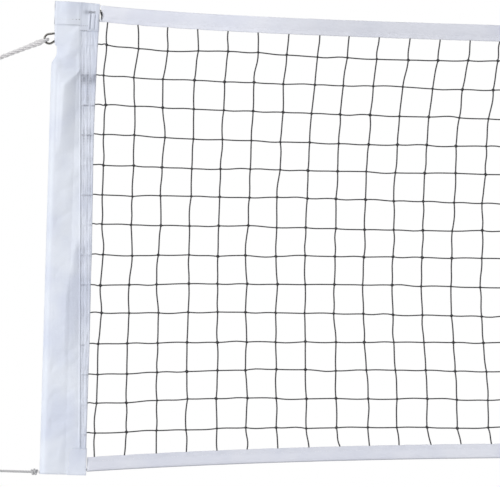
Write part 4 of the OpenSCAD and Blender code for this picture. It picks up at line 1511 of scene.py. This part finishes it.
def slack(x, z):
    """Height of the slack folds in the sleeve's cloth, between the pole and the lap.
    Also gives how deep in a hollow the cloth lies."""
    height = hollow = 0.0
    for depth, steep, ridge in SLACK_FOLDS:
        down, place, strength = np.array(ridge, float).T
        crest = np.interp(-z, -down, place)
        strength = np.interp(-z, -down, strength)
        off = x - crest
        reach = np.maximum(4, np.minimum(steep, lap_edge(z) - 2 - crest))
        rise = np.clip(1 + off / (crest - POLE_X), 0, 1)
        shape = np.where(off < 0, rise, 1 - np.clip(off / reach, 0, 1) ** 1.6) * (x < lap_edge(z) - 1.9)
        height = height + depth * shape * strength
        hollow = hollow + depth / 6 * strength * eased((off + 4) / 16)
    return height, np.minimum(hollow, 1.3)


def wrinkles(x, z, seed):
    """Soft diagonal creases of the sleeve's cloth."""
    total = np.zeros_like(x)
    for size, length, tilt, depth, offset in (
        (17, 60, 0.62, 0.9, 0),
        (26, 120, 0.5, 1.2, 31),
        (9, 34, 0.75, 0.25, 77),
    ):
        total += depth * creases(z - tilt * x, tilt * z + x, size, length, seed + offset)
    return total


class NET_OT_sleeves(bpy.types.Operator):
    """Side sleeves: cloth round the poles, lapped over the lacing tapes, with a hem at the top"""

    bl_idname = "net.sleeves"
    bl_label = "Sleeves"

    def execute(self, context):
        material = finishes()["Coated polyester sleeve cloth"]
        zs = np.unique(
            np.concatenate(
                [
                    np.arange(SLEEVE_BOTTOM, -80, 3.6),
                    np.arange(-80, -9, 1.4),
                    [SLIT[0], SLIT[1]],
                    np.arange(SLIT[0] + 1.5, SLIT[1] - 1, 1.5),
                    np.arange(SLIT[1] + 2, 28.5, 2.0),
                    [29.2, 29.6, 30.0],
                    np.arange(31, SLEEVE_TOP, 3.0),
                    [SLEEVE_TOP],
                ]
            )
        )
        outer, radius = sleeve_sections(zs)
        hem = np.where(zs > 29.7, 0.85, 0.0)
        arc = np.concatenate(
            [np.linspace(0, 0.4, 8)[:-1], np.linspace(0.4, 0.6, 7), np.linspace(0.6, 1, 8)[1:]]
        )
        slope = np.linspace(0, 1, 23)[1:-1]
        lap = np.concatenate([[0, 0.7, 1.3, 1.9, 2.8], np.linspace(4.2, 31, 9)])

        def grid_for(seed):
            sections = []
            for z, x_out, r, h in zip(zs, outer, radius, hem):
                flat = 3.2 + h
                cx = x_out + r
                turn = math.atan2(flat, LACING_X - cx) + math.acos((r + h) / math.hypot(LACING_X - cx, flat))
                edge = float(lap_edge(z))
                touch = np.array([cx + (r + h) * math.cos(turn), -(r + h) * math.sin(turn)])
                corner = np.array([LACING_X, -flat])
                bead = np.interp(lap, [0, 0.7, 1.6, 2.6], [0.1, 0.6, 0.7, 0])
                flat_x = np.where(
                    lap < 4, edge - lap, edge - 4.2 - (lap - 4.2) / 26.8 * max(0.1, edge - LACING_X - 4.2)
                )
                lap_line = np.stack([flat_x, -flat - bead], 1)
                rise = corner + (touch - corner) * slope[:, None]
                a = turn + (2 * math.pi - 2 * turn) * arc
                fold = np.stack([cx + (r + h) * np.cos(a), -(r + h) * np.sin(a)], 1)
                front = np.vstack([lap_line, rise])
                back = front[::-1] * (1, -1)
                sections.append(np.vstack([front, fold, back]))
            grid = np.array(sections)
            z = np.broadcast_to(zs[:, None], grid.shape[:2])
            grid = np.concatenate([grid, z[..., None]], axis=2)
            edge = lap_edge(z)
            free = np.minimum(1, (z - SLEEVE_BOTTOM + 4) / 30)
            window = eased((grid[..., 0] - (outer + radius)[:, None] - 2) / 8) * free
            lying = eased((edge - 2.2 - grid[..., 0]) / 8)
            n = len(lap) + len(slope)
            x = grid[:, :n, 0]
            hollow = np.zeros(z.shape)
            height, hollow[:, :n] = slack(x, z[:, :n])
            grid[:, :n, 1] -= (
                height * free[:, :n] + wrinkles(x, z[:, :n], seed) * lying[:, :n] * window[:, :n]
            )
            x = grid[:, -n:, 0]
            height, hollow[:, -n:] = slack(x, z[:, -n:] * 0.97 - 20)
            grid[:, -n:, 1] += (
                (0.5 * height + wrinkles(x, z[:, -n:], seed + 50)) * lying[:, -n:] * window[:, -n:]
            )
            # the top edge falls a little towards the lacing tape
            fall = np.clip((z - 60) / 17, 0, 1) * np.clip((grid[..., 0] - 10) / 52, 0, 1)
            grid[..., 2] = z - 1.2 * fall
            return grid, hollow

        for side in SIDES:
            right = side == "right"
            grid, hollow = grid_for(3.0 if not right else 11.0)
            skip = np.zeros((len(zs) - 1, grid.shape[1] - 1), bool)
            rows = ((zs[:-1] + zs[1:]) / 2 > SLIT[0]) & ((zs[:-1] + zs[1:]) / 2 < SLIT[1])
            middle = (grid[:-1, :-1, 1] + grid[:-1, 1:, 1]) / 2
            ahead = (grid[:-1, :-1, 0] + grid[:-1, 1:, 0]) / 2
            skip[rows] = (np.abs(middle[rows]) < 2.9) & (ahead[rows] < 16)
            z, x = grid[..., 2], grid[..., 0]
            # painted shadow in a line under the hem's edge, and painted shade in the hollows of the slack
            # folds; the outer fold above the slit is rubbed darker
            hem_shadow = np.exp(-(((z - 28.6) / 1.1) ** 2)) * np.interp(x, [10, 36, 48], [0.22, 0.3, 0.5])
            rubbed = (
                np.clip(1 - (x - outer[:, None]) / 1.2, 0, 1)
                * eased((z - 6) / 8) * (0.3 + 0.3 * np.sin(1.9 * z))
            )
            shade_and_wear = np.clip(hem_shadow + rubbed + 0.1 * hollow, 0, 1)
            sleeve = cloth(f"{side}_pole_sleeve", grid, right, skip, shade_and_wear, flip=True)
            finish_piece(sleeve, material, "net", [f"{side}_sleeve"])
            row = grid[int(np.argmin(np.abs(zs - 40.5)))]
            count = len(lap) + len(slope) + 3
            # the front hem seam's grey thread paints the shade in its needle dents
            for part, face, chosen, finish in (
                ("front", -1, row[4 : count // 2], "Shade-darkened sewing thread"),
                ("fold", -1, row[count // 2 - 1 : count], "Polyester sewing thread"),
                ("back", 1, row[-count:-4], "Polyester sewing thread"),
            ):
                line = np.stack([chosen[:, 0], chosen[:, 1] + face * 0.55, np.full(len(chosen), 40.5)], 1)
                sew(f"{side}_hem_seam_{part}", [at_end(line, right)], finish)
        return {"FINISHED"}


# Profile across the sewn twine bundles of a top corner: place, height and painted shade in the grooves
BUNDLE_X = (
    78.0, 79.2, 80.3, 81.4, 82.0, 82.7, 83.4, 84.4, 86.0, 88.0, 90.0, 91.4, 92.3, 93.2, 94.5, 96.5, 98.5, 99.8
)
BUNDLE_H = (0.0, 0.8, 1.3, 0.8, -0.2, -0.5, -0.2, 1.1, 1.8, 2.0, 1.7, 0.9, -0.1, 0.9, 1.6, 1.8, 1.3, 0.5)
BUNDLE_SHADE = (0, 0, 0, 0.1, 0.5, 0.75, 0.5, 0.05, 0, 0, 0, 0.1, 0.5, 0.1, 0, 0, 0, 0.05)


def turned_over(x, z, half, rise, crest):
    """Rows of points that carry a patch over its end: front edge, crest and back edge."""
    rows = ((-half, rise), (0, crest), (half, rise))
    return np.array([np.stack([x, np.full_like(x, y), z + up], -1) for y, up in rows])


class NET_OT_patches(bpy.types.Operator):
    """Corner patches over the lacing tapes, their bar tacks and outlines"""

    bl_idname = "net.patches"
    bl_label = "Corner patches"

    def execute(self, context):
        found = finishes()
        x0, x1 = LACING_X + 5.4, LACING_END + 2.0
        xs = np.linspace(x0, x1, 46)
        for side in SIDES:
            right = side == "right"
            # top patch: front layer, over the end and down the back
            zs = np.linspace(17.7, SIDE_TOP + 0.3, 34)
            gx, gz = np.meshgrid(xs, zs)
            slope = (gx - x0) / (x1 - x0)
            lift = np.clip((gz - 50) / (SIDE_TOP - 50), 0, 1)
            gz = gz + lift * (2.7 - 2.7 * slope)
            crumple = creases(gx, gz, 4.0, 11.0, 4.0)
            lean = (gz - 36) * 0.045
            bundles = np.interp(gx - lean, BUNDLE_X, BUNDLE_H)
            grooves = np.interp(gx - lean, BUNDLE_X, BUNDLE_SHADE)
            sewn = eased((gz - 19) / 4) * eased((55 - gz) / 5)
            edge = (
                np.clip((gx - x0) / 2, 0, 1) * np.clip((gz - 17.7) / 2, 0, 1) * np.clip((x1 - gx) / 2, 0.3, 1)
            )
            front = 3.3 + edge * (0.4 + 0.6 * crumple + sewn * (bundles - 0.4 * crumple))
            front = np.maximum(front, 2.75) + 0.95 * np.exp(-(((gx - x0) / 1.7) ** 2)) * eased((gz - 27) / 3)
            # painted shadow: a dark spot at the patch's top left, shade in the grooves beside the bundles,
            # and a little shade over its left part
            shadow_spot = np.exp(-(((gz - 56) / 4.2) ** 2) - ((gx - 76) / 7) ** 2)
            shade_and_wear = (
                sewn * grooves + 0.42 * shadow_spot + 0.1 * eased((80 - gx) / 6) * eased((50 - np.abs(gz - 40)) / 20)
            )
            shade_and_wear = np.clip(shade_and_wear, 0, 0.9)
            lay = np.stack([gx, -front, gz], -1)
            behind = np.stack([gx, 3.2 + edge * (0.4 + 0.5 * crumple), gz], -1)[::-1]
            grid = np.concatenate([lay, turned_over(gx[-1], gz[-1], 1.6, 0.75, 1.0), behind], axis=0)
            shade_and_wear = np.concatenate([shade_and_wear, np.zeros((len(grid) - len(shade_and_wear), len(xs)))], axis=0)
            patch = cloth(f"{side}_top_corner", grid, right, shade_and_wear=shade_and_wear)
            finish_piece(
                patch, found["Coated polyester lacing tape"], "net", [f"{side}_top_patch"]
            )
            # bottom patch, round the lower end of the lacing tape and the sleeve's lap
            zs = np.linspace(SLEEVE_BOTTOM - 0.1, SLEEVE_BOTTOM + 54, 26)
            gx, gz = np.meshgrid(xs - 0.6, zs)
            crumple = creases(gx, gz, 5.0, 14.0, 9.0)
            edge = np.clip((gx - x0) / 3, 0, 1)
            front = 4.1 + 0.5 * np.abs(crumple) * edge
            lay = np.stack([gx, -front, gz], -1)[::-1]
            behind = np.stack([gx, np.full_like(gx, 4.1), gz], -1)
            grid = np.concatenate([lay, turned_over(gx[0], gz[0], 2.4, -0.35, -0.45), behind], axis=0)
            patch = cloth(f"{side}_bottom_corner", grid, right, flip=True)
            finish_piece(
                patch, found["Coated polyester lacing tape"], "net", [f"{side}_bottom_patch"]
            )

            low_edge = 18.9
            outline = [(x, -4.3, low_edge) for x in np.linspace(x0 + 14, x1 - 2, 9)]
            wear_and_light = [(x, -4.3, low_edge) for x in np.linspace(x0 + 1.5, x0 + 13, 5)]
            upper = [(x, -4.2, 28.2) for x in np.linspace(x0 + 3, x0 + 14, 5)]
            inner = [(x0 + 1.4, -4.1, z) for z in np.linspace(32, 66, 9)]
            low = [(x, -4.95, SLEEVE_BOTTOM + 52) for x in np.linspace(x0 + 2, x1 - 3, 9)]
            low_in = [(x0 + 1.6, -4.85, SLEEVE_BOTTOM + z) for z in np.linspace(4, 50, 9)]
            low_out = [(x1 - 3, -4.95, SLEEVE_BOTTOM + z) for z in np.linspace(4, 50, 9)]
            shade_thread = "Shade-darkened sewing thread"
            sew(f"{side}_corner_seams", [at_end(v, right) for v in (outline, inner, low, low_in, low_out)])
            wear_and_light = [at_end(v, right) for v in (wear_and_light, upper)]
            sew(f"{side}_corner_shaded_seams", wear_and_light, shade_thread, pitch=0.0034, length=0.0024)
            # a bar tack of nine equal stitches in the grey thread that paints shade, where the cloth is dark
            z, high, tack = 55.6, 2.2, []
            for x in (78.8 + 1.55 * i for i in range(9)):
                tack.append(
                    at_end([(x, -3.9, z - high), (x + 0.25, -4.3, z), (x + 0.5, -3.9, z + high)], right)
                )
            sew(f"{side}_corner_marks", tack, shade_thread, pitch=0.0014, length=0.0026)
        return {"FINISHED"}


class NET_OT_lashings(bpy.types.Operator):
    """Black twine that ties the netting's corners in the slit between the tapes, the upper piece thickened to
    paint the shade in the pocket at the top tape's end
    """

    bl_idname = "net.lashings"
    bl_label = "Corner lashings"

    def execute(self, context):
        found = finishes()
        for side in SIDES:
            right = side == "right"
            # the upper piece is thickened to a dark crescent that paints the shade in the pocket at the top
            # tape's end
            route = [
                (102.0, -1.6, 62), (102.9, -2.4, 59.5), (104.0, -3.4, 55), (104.8, -3.8, 50),
                (105.1, -3.8, 44), (105.0, -3.4, 39.5),
            ]
            path = smooth_route(route, 1.0)
            radius = np.interp(
                np.linspace(0, 1, len(path)), [0, 0.12, 0.3, 0.55, 1], [0.7, 1.8, 2.6, 1.5, 0.5]
            )
            parts = [laid_rope(path, radius, 9, strands=2, per_strand=5, depth=0.6)]
            low = [
                (103.0, 3.0, SIDE_BOTTOM + 12), (104.2, 0.5, SIDE_BOTTOM + 16), (104.0, 0.0, SIDE_BOTTOM + 24)
            ]
            parts.append(laid_rope(smooth_route(low, 1.2), 1.3, 9, strands=2, per_strand=5, depth=0.6))
            rope_piece(
                f"{side}_corner_lashing",
                parts,
                right,
                found["Twisted polyethylene twine"],
                "net",
                [],
            )
            bound = np.array([(x, 0, float(cable_height(x))) for x in np.linspace(95, TAPE_X + 5, 16)])
            whipping = laid_rope(bound, CABLE_R + 0.55, 3.2, strands=2, per_strand=8, depth=0.85)
            rope_piece(
                f"{side}_cable_whipping",
                [whipping],
                right,
                found["Polyester sewing thread"],
                "net",
                [],
            )
        return {"FINISHED"}


class NET_PT_panel(bpy.types.Panel):
    """Shows the net's sizes, colours and building steps in the sidebar"""

    bl_label = "Volleyball net"
    bl_idname = "NET_PT_panel"
    bl_space_type = "VIEW_3D"
    bl_region_type = "UI"
    bl_category = "Volleyball net"

    def draw(self, context):
        for group in (context.scene.net_sizes, context.scene.net_colours):
            box = self.layout.box()
            for name in group.__annotations__:
                box.prop(group, name)
        for step in STEPS:
            self.layout.operator(step.bl_idname)


STEPS = (
    NET_OT_studio,
    NET_OT_upper_ropes,
    NET_OT_lower_ropes,
    NET_OT_cable,
    NET_OT_netting,
    NET_OT_tapes,
    NET_OT_lacing_tapes,
    NET_OT_sleeves,
    NET_OT_patches,
    NET_OT_lashings,
)
CLASSES = (NetSizes, NetColours, *STEPS, NET_PT_panel)


def register():
    for kind in CLASSES:
        bpy.utils.register_class(kind)
    bpy.types.Scene.net_sizes = bpy.props.PointerProperty(type=NetSizes)
    bpy.types.Scene.net_colours = bpy.props.PointerProperty(type=NetColours)


def unregister():
    del bpy.types.Scene.net_colours
    del bpy.types.Scene.net_sizes
    for kind in reversed(CLASSES):
        bpy.utils.unregister_class(kind)


def main():
    register()
    for step in STEPS:
        group, name = step.bl_idname.split(".")
        getattr(getattr(bpy.ops, group), name)()
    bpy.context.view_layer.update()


if __name__ == "__main__":
    main()
